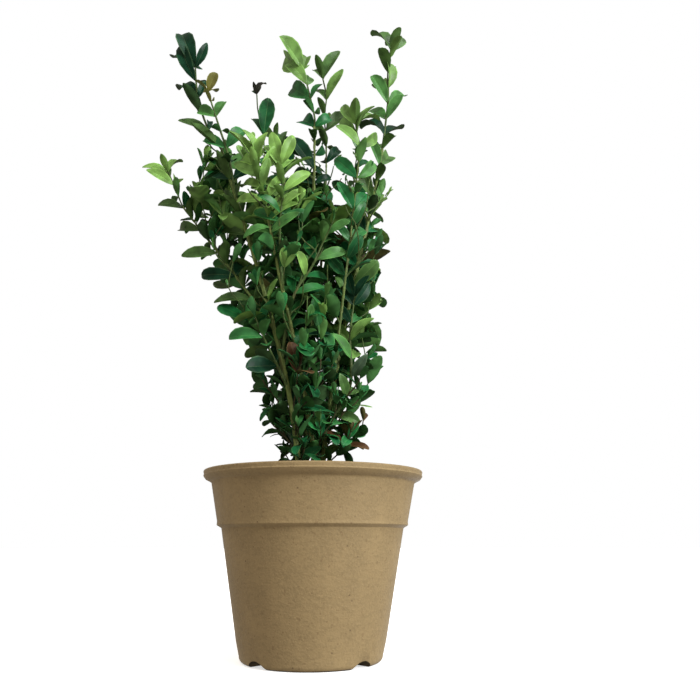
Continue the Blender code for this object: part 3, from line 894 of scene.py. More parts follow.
def make_limb(limb, material, slot, settings, textures):
    """Sweep a ridged section along a limb's line, and roughen it with bark."""
    section = section_curve()
    curve = bpy.data.curves.new(limb.name, "CURVE")
    curve.dimensions = "3D"
    curve.bevel_mode = "OBJECT"
    curve.bevel_object = section
    curve.use_fill_caps = True
    curve.twist_mode = "MINIMUM"
    spline = curve.splines.new("POLY")
    travels = np.linspace(0.0, limb.length, int(limb.length / RING_GAP) + 1)
    spline.points.add(len(travels) - 1)
    flared = limb.parent is None
    for point, travel in zip(spline.points, travels):
        place = limb.at(travel)[0]
        if flared and travel == 0.0:
            place = place - UP * LIMB_SINK
        point.co = (*place, 1.0)
        point.radius = limb_radius(limb, travel, flared)
        point.tilt = 4.0 * travel / limb.length
    holder = bpy.data.objects.new(limb.name + "_bark", curve)
    bpy.context.scene.collection.objects.link(holder)
    activate(holder)
    bpy.ops.object.convert(target="MESH")
    bark = bpy.context.object
    bpy.data.objects.remove(section, do_unlink=True)
    bpy.ops.object.mode_set(mode="EDIT")
    bpy.ops.mesh.select_all(action="SELECT")
    bpy.ops.mesh.remove_doubles(threshold=CAP_MERGE)
    bpy.ops.mesh.normals_make_consistent(inside=False)
    bpy.ops.object.mode_set(mode="OBJECT")
    for texture, share in zip(textures, (1.0, 0.6)):
        displace = bark.modifiers.new("relief", "DISPLACE")
        displace.texture = texture
        displace.texture_coords = "LOCAL"
        displace.strength = 2.0 * share * settings.bark_relief
        displace.mid_level = 0.5
    apply_modifiers(bark)
    smooth(bark, 60.0)
    bark.data.materials.clear()
    bark.data.materials.append(material)
    hand_over(bark, slot, limb.name)


# --------------------------------------------------------------------------- growth

# Tints of the leaves: the top face's colour and the piece they are joined into.
TINTS = {
    "deep": ((0.0050, 0.0340, 0.0130), "dark"),
    "dark": ((0.0080, 0.0630, 0.0160), "dark"),
    "blue": ((0.0070, 0.0790, 0.0220), "dark"),
    "umber": ((0.0140, 0.0150, 0.0100), "dark"),
    "middle": ((0.0220, 0.1210, 0.0260), "middle"),
    "sea": ((0.0110, 0.1130, 0.0250), "middle"),
    "olive": ((0.0340, 0.0760, 0.0160), "middle"),
    "moss": ((0.0540, 0.1280, 0.0260), "middle"),
    "grey": ((0.0480, 0.0880, 0.0420), "middle"),
    "fresh": ((0.0560, 0.1750, 0.0350), "young"),
    "young": ((0.1120, 0.2280, 0.0440), "young"),
    "bright": ((0.1480, 0.2900, 0.0520), "young"),
    "bronze": ((0.1500, 0.1500, 0.0300), "young"),
    "dry": ((0.1300, 0.1100, 0.0260), "young"),
    "rust": ((0.0620, 0.0300, 0.0100), "young"),
}
LADDER = ("deep", "dark", "blue", "middle", "sea", "fresh", "young", "bright")
UNDERSIDE = (0.0700, 0.1250, 0.0340)
# How much each colour of the light lifts every tint.
LEAF_LIFT = (1.22, 1.22, 1.48)

# How bright the sprays of each mass run on average, as a place on the ladder: partly the paler young
# growth at the top, partly painted shade, darker at the back and on the left, away from the light.
MASS_BRIGHTNESS = {
    "foliage_low_left": 1.4,
    "foliage_low_right": 2.2,
    "foliage_low_front": 1.8,
    "foliage_low_back": 1.2,
    "foliage_mid_left": 3.0,
    "foliage_mid_front": 3.9,
    "foliage_mid_right": 4.3,
    "foliage_mid_back": 1.6,
    "foliage_front_right": 4.8,
    "foliage_upper_left": 4.8,
    "foliage_upper_front": 6.6,
    "foliage_upper_centre": 4.4,
    "foliage_upper_right": 4.4,
    "foliage_upper_back": 2.6,
    "foliage_back_right": 2.6,
}


@dataclass
class Leader:
    """A leading shoot that carries a limb on to its tip, and how the pairs of leaves run up it.

    Places, heights and lengths are millimetres. Where two values stand together, the first holds at
    the lowest pair and the second at the tip.
    """

    limb: str
    route: tuple
    lowest: float
    gap: float
    lengths: tuple
    tints: tuple
    spreads: tuple = (52.0, 34.0)
    slender: float = 0.36
    sides: tuple = (1.0, 1.0)
    tip_radius: float = 0.4
    fork_height: float = 0.0


LEADERS = (
    # Top left: a tall bare shoot with its longest leaves on the outside, and a shorter one before it.
    Leader(
        limb="stem_left", route=((-51, -8, 231), (-57, -7, 247), (-59, -7, 258), (-60, -7, 267)),
        lowest=178, gap=9, lengths=(17, 26), sides=(1.0, 0.5), slender=0.31,
        spreads=(44, 34), tints=("olive", "olive", "moss", "deep", "deep"), tip_radius=0.45,
    ),
    Leader(
        limb="stem_left", route=((-41, -11, 216), (-46, -13, 231), (-52, -14, 249)),
        lowest=206, gap=7.5, lengths=(15, 9), slender=0.50, fork_height=196,
        tints=("deep", "middle", "blue", "fresh", "bronze"),
    ),
    # Far left: a low fork with a bright tuft at its tip.
    Leader(
        limb="bough_far_left", route=((-67, 1, 206), (-71, 1, 215)),
        lowest=148, gap=6, lengths=(19, 14), spreads=(58, 42),
        tints=("olive", "deep", "moss", "deep", "olive", "dark", "fresh", "bright"), tip_radius=0.35,
    ),
    # Inner left: two big dark leaves under a thin tip.
    Leader(
        limb="bough_inner_left", route=((-28, 14, 247), (-31, 14, 258), (-32, 14, 268)),
        lowest=244, gap=22, lengths=(26, 13), sides=(0.66, 1.0), spreads=(22, 9), slender=0.31,
        tints=("dark", "dark", "umber"), tip_radius=0.35,
    ),
    # Middle: the fullest of the tall shoots.
    Leader(
        limb="stem_centre", route=((-2, 5, 250), (-5, 5, 264), (-8, 5, 277)),
        lowest=212, gap=8, lengths=(14, 17), slender=0.46, sides=(1.2, 0.75), spreads=(55, 34),
        tints=("deep", "deep", "dark", "blue", "sea", "middle", "moss", "young"),
    ),
    # Inner right, just behind it: young leaves at the tip.
    Leader(
        limb="bough_inner_right", route=((3, 17, 259), (4, 17, 270), (2, 17, 281)),
        lowest=230, gap=9.5, lengths=(14, 17), sides=(0.8, 1.15), spreads=(44, 30),
        tints=("deep", "olive", "moss", "moss", "young", "moss"),
    ),
    # Right: close pairs of upright leaves.
    Leader(
        limb="stem_right", route=((33, 4, 243), (35, 4, 262), (35, 4, 276), (37, 4, 289)),
        lowest=150, gap=9, lengths=(15, 18), slender=0.42, spreads=(46, 24),
        tints=("moss", "blue", "fresh", "deep", "fresh", "moss", "deep", "fresh", "young", "moss"),
    ),
    # Front right: a leafy shoot with yellow-green tips.
    Leader(
        limb="bough_front_right", route=((18, -20, 223), (17, -21, 229)),
        lowest=158, gap=7.5, lengths=(13, 17), spreads=(48, 36),
        tints=("dark", "fresh", "middle", "sea", "middle", "fresh", "young", "young"), tip_radius=0.35,
    ),
    # Front left: two bright tufts.
    Leader(
        limb="stem_front", route=((-25, -26, 196), (-27, -27, 205)),
        lowest=174, gap=2.4, lengths=(15, 18), slender=0.31, spreads=(74, 24),
        tints=("fresh", "bright", "bright", "young", "bright"),
    ),
    Leader(
        limb="stem_front", route=((-16, -25, 176), (-15, -26, 190), (-16, -27, 204)),
        lowest=178, gap=3.4, lengths=(14, 17), slender=0.32, spreads=(66, 26), fork_height=150,
        tints=("middle", "bright", "young", "bright"),
    ),
    # Low left: a short fork with broad dark leaves.
    Leader(
        limb="stem_left", route=((-18, -15, 121), (-22, -15, 129)),
        lowest=117, gap=7, lengths=(15, 14), slender=0.48, sides=(1.1, 0.6), spreads=(72, 54),
        tints=("deep", "middle", "middle"), fork_height=108,
    ),
    # Two low forks that fill the middle of the front.
    Leader(
        limb="stem_left", route=((-10, -17, 146), (-2, -17, 161), (4, -17, 176)),
        lowest=132, gap=8, lengths=(13, 15), slender=0.42, fork_height=120,
        tints=("dark", "middle", "bright", "sea", "fresh"),
    ),
    Leader(
        limb="stem_right", route=((15, -7, 110), (15, -8, 132), (17, -9, 150)),
        lowest=98, gap=8, lengths=(12, 14), slender=0.38, fork_height=92,
        tints=("moss", "grey", "fresh", "young", "middle", "deep"),
    ),
    # Two behind.
    Leader(
        limb="stem_back", route=((-20, 36, 246), (-23, 39, 258)),
        lowest=226, gap=8, lengths=(15, 13), tints=("dark", "middle", "moss"),
    ),
    Leader(
        limb="bough_back_right", route=((20, 36, 240), (22, 39, 252)),
        lowest=222, gap=8, lengths=(15, 13), tints=("dark", "middle", "fresh"),
    ),
)
# How far the leaves across the view turn their faces up from the front, in degrees.
LEAF_TURN = 26.0
LEAF_TURN_SPREAD = 22.0
# How far the pairs stand out of the view's plane, and how far each swings from there, in radians.
PAIR_TURN = 0.45
PAIR_SWING = 0.26
# How much shorter the leaves along the view are than those across it.
ALONG_SIZE = 0.72
# How far single leaves reach past the crown's outline at most.
OUTLINE_SLACK = 11.0 * MM

# How far left and right the crown reaches, seen from the front and measured in the plane of the pot's
# axis: height, left, right (millimetres).
OUTLINE = (
    (78, -13, 15),
    (95, -20, 24),
    (120, -27, 28),
    (145, -35, 26),
    (175, -52, 28),
    (205, -60, 33),
    (222, -54, 30),
    (230, -52, -8),
    (238, -47, -13),
)
# Gaps that show the sky, in the same plane: across, height, radius (millimetres).
GAPS = (
    (7, 229, 4),
    (10, 203, 4),
    (12, 187, 3),
    (-8, 227, 3),
    (-34, 210, 3),
    (-63, 215, 5),
)
# The low part, where leaves are shorter, narrower and closer together towards the soil.
LOW_PART = (85 * MM, 140 * MM)
LOW_SIZES = (0.66, 1.0)
LOW_WIDTHS = (0.86, 1.0)
LOW_SPACINGS = (0.58, 1.0)
# The stretch of the foremost stem that stays in sight (heights in millimetres).
SHOWN_STEM = ("stem_left", 88, 140)
# Twigs: the longest and the shortest that are wanted, their tips, and how often a mass is tried.
TWIG_LONGEST = 62 * MM
TWIG_SHORTEST = 11 * MM
TWIG_TIP_RADIUS = 0.26 * MM
TWIG_ATTEMPTS = 500
TWIG_INSIDE = 2.2 * MM
# Where leaves begin on a stem, and how they stand on the limbs.
FOLIAGE_START = 79 * MM
LIMB_PAIR_SPACING = 6.5 * MM
LIMB_BRIGHTNESS = 2.0


class Skeleton:
    """The points of every shoot from which a later twig can fork."""

    def __init__(self):
        self.points = np.empty((0, 3))
        self.tangents = np.empty((0, 3))
        self.radii = np.empty(0)

    def add(self, shoot, bare_share):
        """Offer a shoot's points past its bare foot as places to fork."""
        keep = shoot.travel >= bare_share * shoot.length
        self.points = np.vstack((self.points, shoot.points[keep]))
        self.tangents = np.vstack((self.tangents, shoot.tangents[keep]))
        self.radii = np.concatenate((self.radii, shoot.radii[keep]))

    def fork_for(self, target, least):
        """Return the place whose twig to the target is short and rises, and how far off it is."""
        way = target - self.points
        length = np.maximum(np.linalg.norm(way, axis=1), 1e-6)
        rise = way[:, 2] / length
        along = np.einsum("ij,ij->i", way, self.tangents) / length
        cost = length * (1.0 + 2.6 * np.maximum(0.0, 0.75 - rise) + 0.8 * np.maximum(0.0, 0.3 - along))
        cost += np.maximum(0.0, least - length) * 6.0
        best = int(np.argmin(cost))
        return best, float(length[best])


@dataclass
class Leaf:
    """One leaf: where it is, how it lies, its size, its bend and its tint."""

    base: np.ndarray
    direction: np.ndarray
    normal: np.ndarray
    length: float
    width: float
    bend: float
    cup: float
    twist: float
    form: str
    tint: str


def front_view(points):
    """Return where points show in the plane of the pot's axis, seen from the front."""
    points = np.atleast_2d(points)
    share = -CAMERA_PLACE[1] / (points[:, 1] - CAMERA_PLACE[1])
    across = points[:, 0] * share
    height = CAMERA_PLACE[2] + (points[:, 2] - CAMERA_PLACE[2]) * share
    return np.stack((across, height), 1)


def facing_front(axis, place, turn):
    """Return the normal of a leaf that faces the front, turned up by an angle."""
    to_front = unit(EYE - place)
    flat = unit(to_front - axis * (to_front @ axis))
    angle = -math.copysign(1.0, axis[0]) * turn
    return math.cos(angle) * flat + math.sin(angle) * np.cross(axis, flat)


class FrontView:
    """What the front of the crown keeps in sight: its outline, its gaps and the leaves that stand out."""

    def __init__(self):
        self.rows = np.array(OUTLINE, float) * MM
        self.gaps = np.array(GAPS, float) * MM
        self.discs = []

    def show(self, points):
        """Keep a stretch of a stem in sight of the leading shoots' leaves too."""
        self.shown = front_view(points)
        self.shown_depth = float(np.linalg.norm(points - EYE, axis=1).max())
        self.keep(points, 0.8 * MM)

    def hides_shown(self, points, margin):
        """Tell whether a leaf through some points lies before the shown stem."""
        if np.linalg.norm(points - EYE, axis=1).min() > self.shown_depth:
            return False
        flat = front_view(points)
        gaps = np.linalg.norm(flat[:, None, :] - self.shown[None, :, :], axis=2)
        return bool(np.any(gaps < margin))

    def keep(self, points, half_width):
        """Keep some points in sight, with nothing grown in front of them."""
        for point, flat in zip(points, front_view(points)):
            self.discs.append((*flat, half_width, float(np.linalg.norm(point - EYE))))

    def settle(self):
        """Turn the kept discs into an array."""
        self.discs = np.array(self.discs)

    def allows(self, points, margin, slack=0.0):
        """Tell whether a leaf or twig through some points stays out of everyone's way."""
        flat = front_view(points)
        left = np.interp(flat[:, 1], self.rows[:, 0], self.rows[:, 1])
        right = np.interp(flat[:, 1], self.rows[:, 0], self.rows[:, 2])
        if np.any(flat[:, 0] < left - slack) or np.any(flat[:, 0] > right + slack):
            return False
        if np.any(flat[:, 1] > self.rows[-1, 0]):
            return False
        for across, height, radius in self.gaps:
            away = np.hypot(flat[:, 0] - across, flat[:, 1] - height)
            if np.any(away < radius + margin):
                return False
        distance = np.linalg.norm(points - EYE, axis=1)
        for point, far in zip(flat, distance):
            away = np.hypot(self.discs[:, 0] - point[0], self.discs[:, 1] - point[1])
            if np.any((away < self.discs[:, 2] + margin) & (far < self.discs[:, 3] + MM)):
                return False
        return True


class Crown:
    """The whole crown while it grows: shoots, twigs and leaves."""

    def __init__(self, settings):
        self.settings = settings
        self.draw = np.random.default_rng(settings.seed)
        self.skeleton = Skeleton()
        self.front = FrontView()
        self.leaders = []
        self.twigs = []
        self.leaves = []

    # Leaves.

    def add_leaf(self, base, direction, facing, length, tint, form):
        """Add a leaf with small chance differences, unless it would get in the way."""
        draw = self.draw
        direction = unit(direction + 0.10 * draw.normal(size=3))
        normal = facing + 0.20 * draw.normal(size=3)
        normal = unit(normal - direction * (normal @ direction))
        slim = np.interp(base[2], LOW_PART, LOW_WIDTHS)
        width = length * draw.uniform(0.42, 0.56) * slim * (0.80 if form == "young" else 1.0)
        young = form == "young"
        bend = draw.normal(-0.1, 0.35) if young else draw.normal(0.60, 0.45)
        cup = draw.normal(0.9, 0.30) if young else draw.normal(0.60, 0.40)
        twist = draw.normal(0.0, 0.35)
        along = np.array((0.35, 0.65, 1.0))[:, None] * length
        drop = np.array((0.06, 0.2, 0.5))[:, None] * bend * length
        slack = OUTLINE_SLACK * draw.random() ** 2
        for shrink in (1.0, 0.8, 0.62):
            points = base + shrink * (along * direction - drop * normal)
            if self.front.allows(points, 0.22 * shrink * width, slack):
                break
        else:
            return
        length *= shrink
        width *= shrink
        self.leaves.append(Leaf(base, direction, normal, length, width, bend, cup, twist, form, tint))

    def add_leader_leaf(self, point, tangent, away, spread, length, slender, tint):
        """Add a leaf of a leading shoot, and keep it in sight."""
        draw = self.draw
        direction = unit(math.cos(spread) * tangent + math.sin(spread) * away)
        natural = math.sin(spread) * tangent - math.cos(spread) * away
        turn = math.radians(draw.normal(LEAF_TURN, LEAF_TURN_SPREAD))
        across = abs(away[0])
        facing = natural + 0.3 * UP
        if across > 0.5:
            facing = facing_front(direction, point, turn)
        facing = unit(facing - direction * (facing @ direction))
        form = "young" if slender < 0.30 else ("oval" if slender < 0.40 else "broad")
        width = slender * length * draw.uniform(0.85, 1.15)
        bend = abs(draw.normal(0.70, 0.40))
        cup = draw.uniform(0.7, 1.7)
        twist = draw.normal(0.0, 0.22)
        places = point + np.array((0.30, 0.50, 0.70, 0.90))[:, None] * length * direction
        if self.front.hides_shown(places, 0.8 * MM + 0.36 * width):
            return
        self.leaves.append(Leaf(point, direction, facing, length, width, bend, cup, twist, form, tint))
        self.front.keep(places, 0.38 * width)

    def dress(self, leader, shoot):
        """Set pairs of leaves up a leading shoot, by turns across the view and along it."""
        draw = self.draw
        limb = limbs()[leader.limb]
        top = float(shoot.points[-1][2])
        low = leader.lowest * MM
        first = draw.choice((-1.0, 1.0)) * PAIR_TURN
        heights = np.append(np.arange(low, top - 0.4 * leader.gap * MM, leader.gap * MM), top)
        for index, height in enumerate(heights):
            share = (height - low) / (top - low)
            bearer = limb if height < shoot.points[0][2] else shoot
            point, tangent = bearer.at(bearer.travel_at_height(height))
            across = unit(np.cross(tangent, FRONTWARDS))
            along = np.cross(tangent, across)
            azimuth = 0.5 * math.pi * index + first + draw.normal(0.0, PAIR_SWING)
            spread = math.radians(np.interp(share, (0.0, 1.0), leader.spreads))
            length = np.interp(share, (0.0, 1.0), leader.lengths) * MM
            turns = (0.0, math.pi) if height < top else (0.0, math.pi, 0.5 * math.pi, 1.5 * math.pi)
            for turn in turns:
                away = math.cos(azimuth + turn) * across + math.sin(azimuth + turn) * along
                side = leader.sides[int(away[0] > 0.0)] if abs(away[0]) > 0.5 else ALONG_SIZE
                place = int(share * len(leader.tints) + draw.normal(0.0, 0.5))
                tint = leader.tints[min(max(place, 0), len(leader.tints) - 1)]
                size = length * side * draw.uniform(0.82, 1.12)
                open_by = spread + math.radians(draw.normal(0.0, 8.0))
                self.add_leader_leaf(point, tangent, away, open_by, size, leader.slender, tint)

    def add_pair(self, shoot, travel, azimuth, length, spread, tint, form):
        """Add two opposite leaves at a node."""
        point, tangent = shoot.at(travel)
        radius = float(np.interp(travel, shoot.travel, shoot.radii))
        side = unit(np.cross(tangent, UP + 0.01))
        other = np.cross(tangent, side)
        outwards = math.cos(azimuth) * side + math.sin(azimuth) * other
        for sign in (1.0, -1.0):
            away = sign * outwards
            direction = math.cos(spread) * tangent + math.sin(spread) * away
            facing = math.sin(spread) * tangent - math.cos(spread) * away + 0.30 * UP
            size = length * self.draw.uniform(0.86, 1.12) * np.interp(point[2], LOW_PART, LOW_SIZES)
            self.add_leaf(point + away * radius * 0.6, direction, facing, size, tint, form)

    def tint_near(self, brightness):
        """Draw a spray's tint round a place on the ladder."""
        chance = self.draw.random()
        for tint, least in (("olive", 0.95), ("dry", 0.935), ("rust", 0.92)):
            if chance >= least:
                return tint
        place = int(round(self.draw.normal(brightness, 1.5)))
        return LADDER[min(max(place, 0), len(LADDER) - 1)]

    def lighter(self, tint, steps):
        """Return a tint some steps up the ladder."""
        if tint not in LADDER:
            return tint
        return LADDER[min(LADDER.index(tint) + steps, len(LADDER) - 1)]

    def clothe(self, shoot, start, stop, spacing, length, brightness, skip=0.0, tip=True):
        """Set pairs of leaves along a shoot, each a quarter turn from the last, up to its tip."""
        draw = self.draw
        tint = self.tint_near(brightness)
        travel = start
        azimuth = draw.random() * math.pi
        while travel < stop:
            azimuth += 0.5 * math.pi + draw.normal(0.0, 0.18)
            left = (shoot.length - travel) / max(shoot.length, 1e-6)
            ripe = min(1.0, 0.50 + 2.2 * left)
            spread = math.radians(24.0 + 24.0 * ripe + draw.normal(0.0, 9.0))
            form = ("broad", "oval")[int(draw.random() < 0.45)]
            if draw.random() >= skip:
                shade = tint
                if draw.random() < 0.30:
                    shade = self.tint_near(brightness)
                if left < 0.25:
                    shade = self.lighter(shade, 1)
                self.add_pair(shoot, travel, azimuth, length * ripe, spread, shade, form)
            place, _ = shoot.at(travel)
            crowding = np.interp(place[2], LOW_PART, LOW_SPACINGS)
            travel += spacing * crowding * draw.uniform(0.8, 1.25) * (0.75 + 0.35 * ripe)
        if tip:
            azimuth += 0.5 * math.pi
            end = shoot.length
            shade = self.lighter(tint, 1)
            self.add_pair(shoot, end - 0.6 * MM, azimuth, 0.60 * length, 0.50, shade, "young")
            self.add_pair(shoot, end, azimuth + 1.57, 0.42 * length, 0.28, shade, "young")

    # Shoots.

    def grow_leader(self, leader):
        """Carry a limb on to its tip, or fork a leading shoot from it."""
        limb = limbs()[leader.limb]
        if leader.fork_height:
            travel = limb.travel_at_height(leader.fork_height * MM)
        else:
            travel = limb.length
        start, _ = limb.at(travel)
        back, _ = limb.at(travel - 6 * MM)
        line = through([back, start] + [millimetres(*point) for point in leader.route], 10)
        radius = float(np.interp(travel, limb.travel, limb.radii)) * LIMB_SLENDER
        shoot = Shoot(limb.name + "_tip", line, radius, leader.tip_radius * MM, limb.name)
        self.leaders.append(shoot)
        self.skeleton.add(shoot, 0.1)
        return shoot

    def grow_twig(self, name, target):
        """Grow a twig from the best fork to a target, if there is one near enough."""
        best, length = self.skeleton.fork_for(target, TWIG_SHORTEST)
        if length > TWIG_LONGEST:
            return None
        start, tangent = self.skeleton.points[best], self.skeleton.tangents[best]
        way = unit(target - start)
        leave = unit(0.5 * tangent + 0.75 * way + 0.10 * self.draw.normal(size=3))
        arrive = unit(0.55 * way + 0.60 * UP + 0.15 * self.draw.normal(size=3))
        reach = 0.36 * length
        line = bezier((start, start + reach * leave, target - reach * arrive, target), np.linspace(0, 1, 31))
        foot_radius = min(0.85 * self.skeleton.radii[best], 0.34 * MM + 0.010 * length)
        twig = Shoot(name, line, foot_radius, TWIG_TIP_RADIUS, "twig")
        self.twigs.append(twig)
        self.skeleton.add(twig, 0.3)
        return twig

    def grow(self):
        """Grow the leading shoots and their leaves, then a twig to each target, and clothe them."""
        settings = self.settings
        for limb in limbs().values():
            self.skeleton.add(limb, 0.06)
        name, low, high = SHOWN_STEM
        shown = limbs()[name]
        heights = np.arange(low, high, 2.5) * MM
        self.front.show(np.array([shown.at(shown.travel_at_height(h))[0] for h in heights]))
        for leader in LEADERS:
            self.dress(leader, self.grow_leader(leader))
        self.front.settle()
        for index, (target, brightness) in enumerate(self.targets()):
            twig = self.grow_twig(f"twig_{index}", target)
            if twig is None:
                continue
            start = max(3.5 * MM, 0.22 * twig.length)
            stop = twig.length - 3.0 * MM
            self.clothe(twig, start, stop, settings.pair_spacing, settings.leaf_length, brightness)
        for limb in limbs().values():
            first = 0.12 * limb.length
            if limb.parent is None:
                first = limb.travel_at_height(FOLIAGE_START)
            length = settings.leaf_length
            self.clothe(limb, first, limb.length, LIMB_PAIR_SPACING, length, LIMB_BRIGHTNESS, 0.05, False)

    def targets(self):
        """Return the twigs' tips, scattered through every mass, with each one's brightness."""
        found = []
        tips = np.empty((0, 3))
        for name in sorted(MASS_BRIGHTNESS):
            mesh = frame["nodes"][name].data
            corners = [v.co for v in mesh.vertices]
            tree = BVHTree.FromPolygons(corners, [tuple(p.vertices) for p in mesh.polygons])
            low, high = (np.array(corner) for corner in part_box(name))
            for _ in range(TWIG_ATTEMPTS):
                place = low + (high - low) * self.draw.random(3)
                near, normal, _, distance = tree.find_nearest(Vector(place))
                inside = (Vector(place) - near).dot(normal) < 0.0
                if not inside or distance < TWIG_INSIDE:
                    continue
                if len(tips) and np.min(np.linalg.norm(tips - place, axis=1)) < self.settings.twig_spacing:
                    continue
                if not self.front.allows(place[None, :], 0.5 * MM):
                    continue
                tips = np.vstack((tips, place))
                found.append((place, MASS_BRIGHTNESS[name]))
        known = self.skeleton.points
        found.sort(key=lambda pair: float(np.min(np.linalg.norm(known - pair[0], axis=1))))
        return found


@functools.cache
def grown_crown():
    """Return the crown, grown once from the scene's settings."""
    crown = Crown(bpy.context.scene.boxwood_crown)
    crown.grow()
    return crown


# --------------------------------------------------------------------------- twigs


TWIG_SIDES = 6
TWIG_RING_GAP = 2.6 * MM
# Old twigs, that start below a height, are brown.
OLD_TWIG_HEIGHT = 120 * MM
OLD_TWIG_COLOR = (0.040, 0.022, 0.012)


def tube(shoot, sides):
    """Return the vertices and faces of a closed tube round a shoot."""
    count = max(3, int(round(shoot.length / TWIG_RING_GAP)) + 1)
    travels = np.linspace(0.0, shoot.length, count)
    side = unit(np.cross(shoot.tangents[0], np.array((0.31, 0.95, 0.05))))
    turns = 2.0 * math.pi * np.arange(sides) / sides
    rings = []
    for travel in travels:
        point, tangent = shoot.at(travel)
        side = unit(side - tangent * (side @ tangent))
        other = np.cross(tangent, side)
        radius = float(np.interp(travel, shoot.travel, shoot.radii))
        offsets = np.cos(turns)[:, None] * side + np.sin(turns)[:, None] * other
        rings.append(point + radius * offsets)
    vertices = np.vstack(rings + [shoot.points[:1], shoot.points[-1:]])
    faces = []
    for ring in range(count - 1):
        for k in range(sides):
            after = (k + 1) % sides
            low, high = ring * sides, (ring + 1) * sides
            faces.append((low + k, low + after, high + after, high + k))
    foot, tip = count * sides, count * sides + 1
    top = foot - sides
    for k in range(sides):
        after = (k + 1) % sides
        faces.append((after, k, foot))
        faces.append((top + k, top + after, tip))
    return vertices, faces


def make_twigs(settings, crown):
    """Join every leading shoot and twig into one piece."""
    green = tuple(settings.twig_color)
    finishes = [
        bark_finish("twig_bark", settings, green, 70 * MM),
        bark_finish("old_twig_bark", settings, mixed(green, OLD_TWIG_COLOR, 0.8), 80 * MM),
    ]
    vertices, faces, finish_of_face = [], [], []
    offset = 0
    for shoot in crown.leaders + crown.twigs:
        points, shoot_faces = tube(shoot, TWIG_SIDES)
        vertices.append(points)
        faces += [tuple(corner + offset for corner in face) for face in shoot_faces]
        old = int(shoot.parent == "twig" and shoot.points[0][2] < OLD_TWIG_HEIGHT)
        finish_of_face += [old] * len(shoot_faces)
        offset += len(points)
    twigs = joined_mesh("twigs", np.concatenate(vertices), faces, finishes, finish_of_face, 70.0)
    hand_over(twigs, "bough_bark")


# --------------------------------------------------------------------------- leaves

# The half width of each form at the places along its length that LEAF_SHARES gives.
LEAF_SHARES = (0.06, 0.20, 0.40, 0.60, 0.78, 0.91, 0.975)
LEAF_FORMS = {
    "broad": (0.16, 0.54, 0.88, 1.00, 0.90, 0.61, 0.33),
    "oval": (0.18, 0.62, 0.96, 0.98, 0.75, 0.43, 0.20),
    "young": (0.20, 0.52, 0.82, 0.98, 0.92, 0.62, 0.30),
}
LEAF_THICKNESS = 0.030
MARGIN_SHARE = 0.87
RIB_WIDTH = 0.035
RIB_COLOR = (0.20, 0.26, 0.10)
# Tolerances in a leaf of length one: between its rings, beside its middle, and off its flat rim.
RING_TOLERANCE = 1e-3
MIDDLE_TOLERANCE = 1e-4
RIM_TOLERANCE = 1e-5


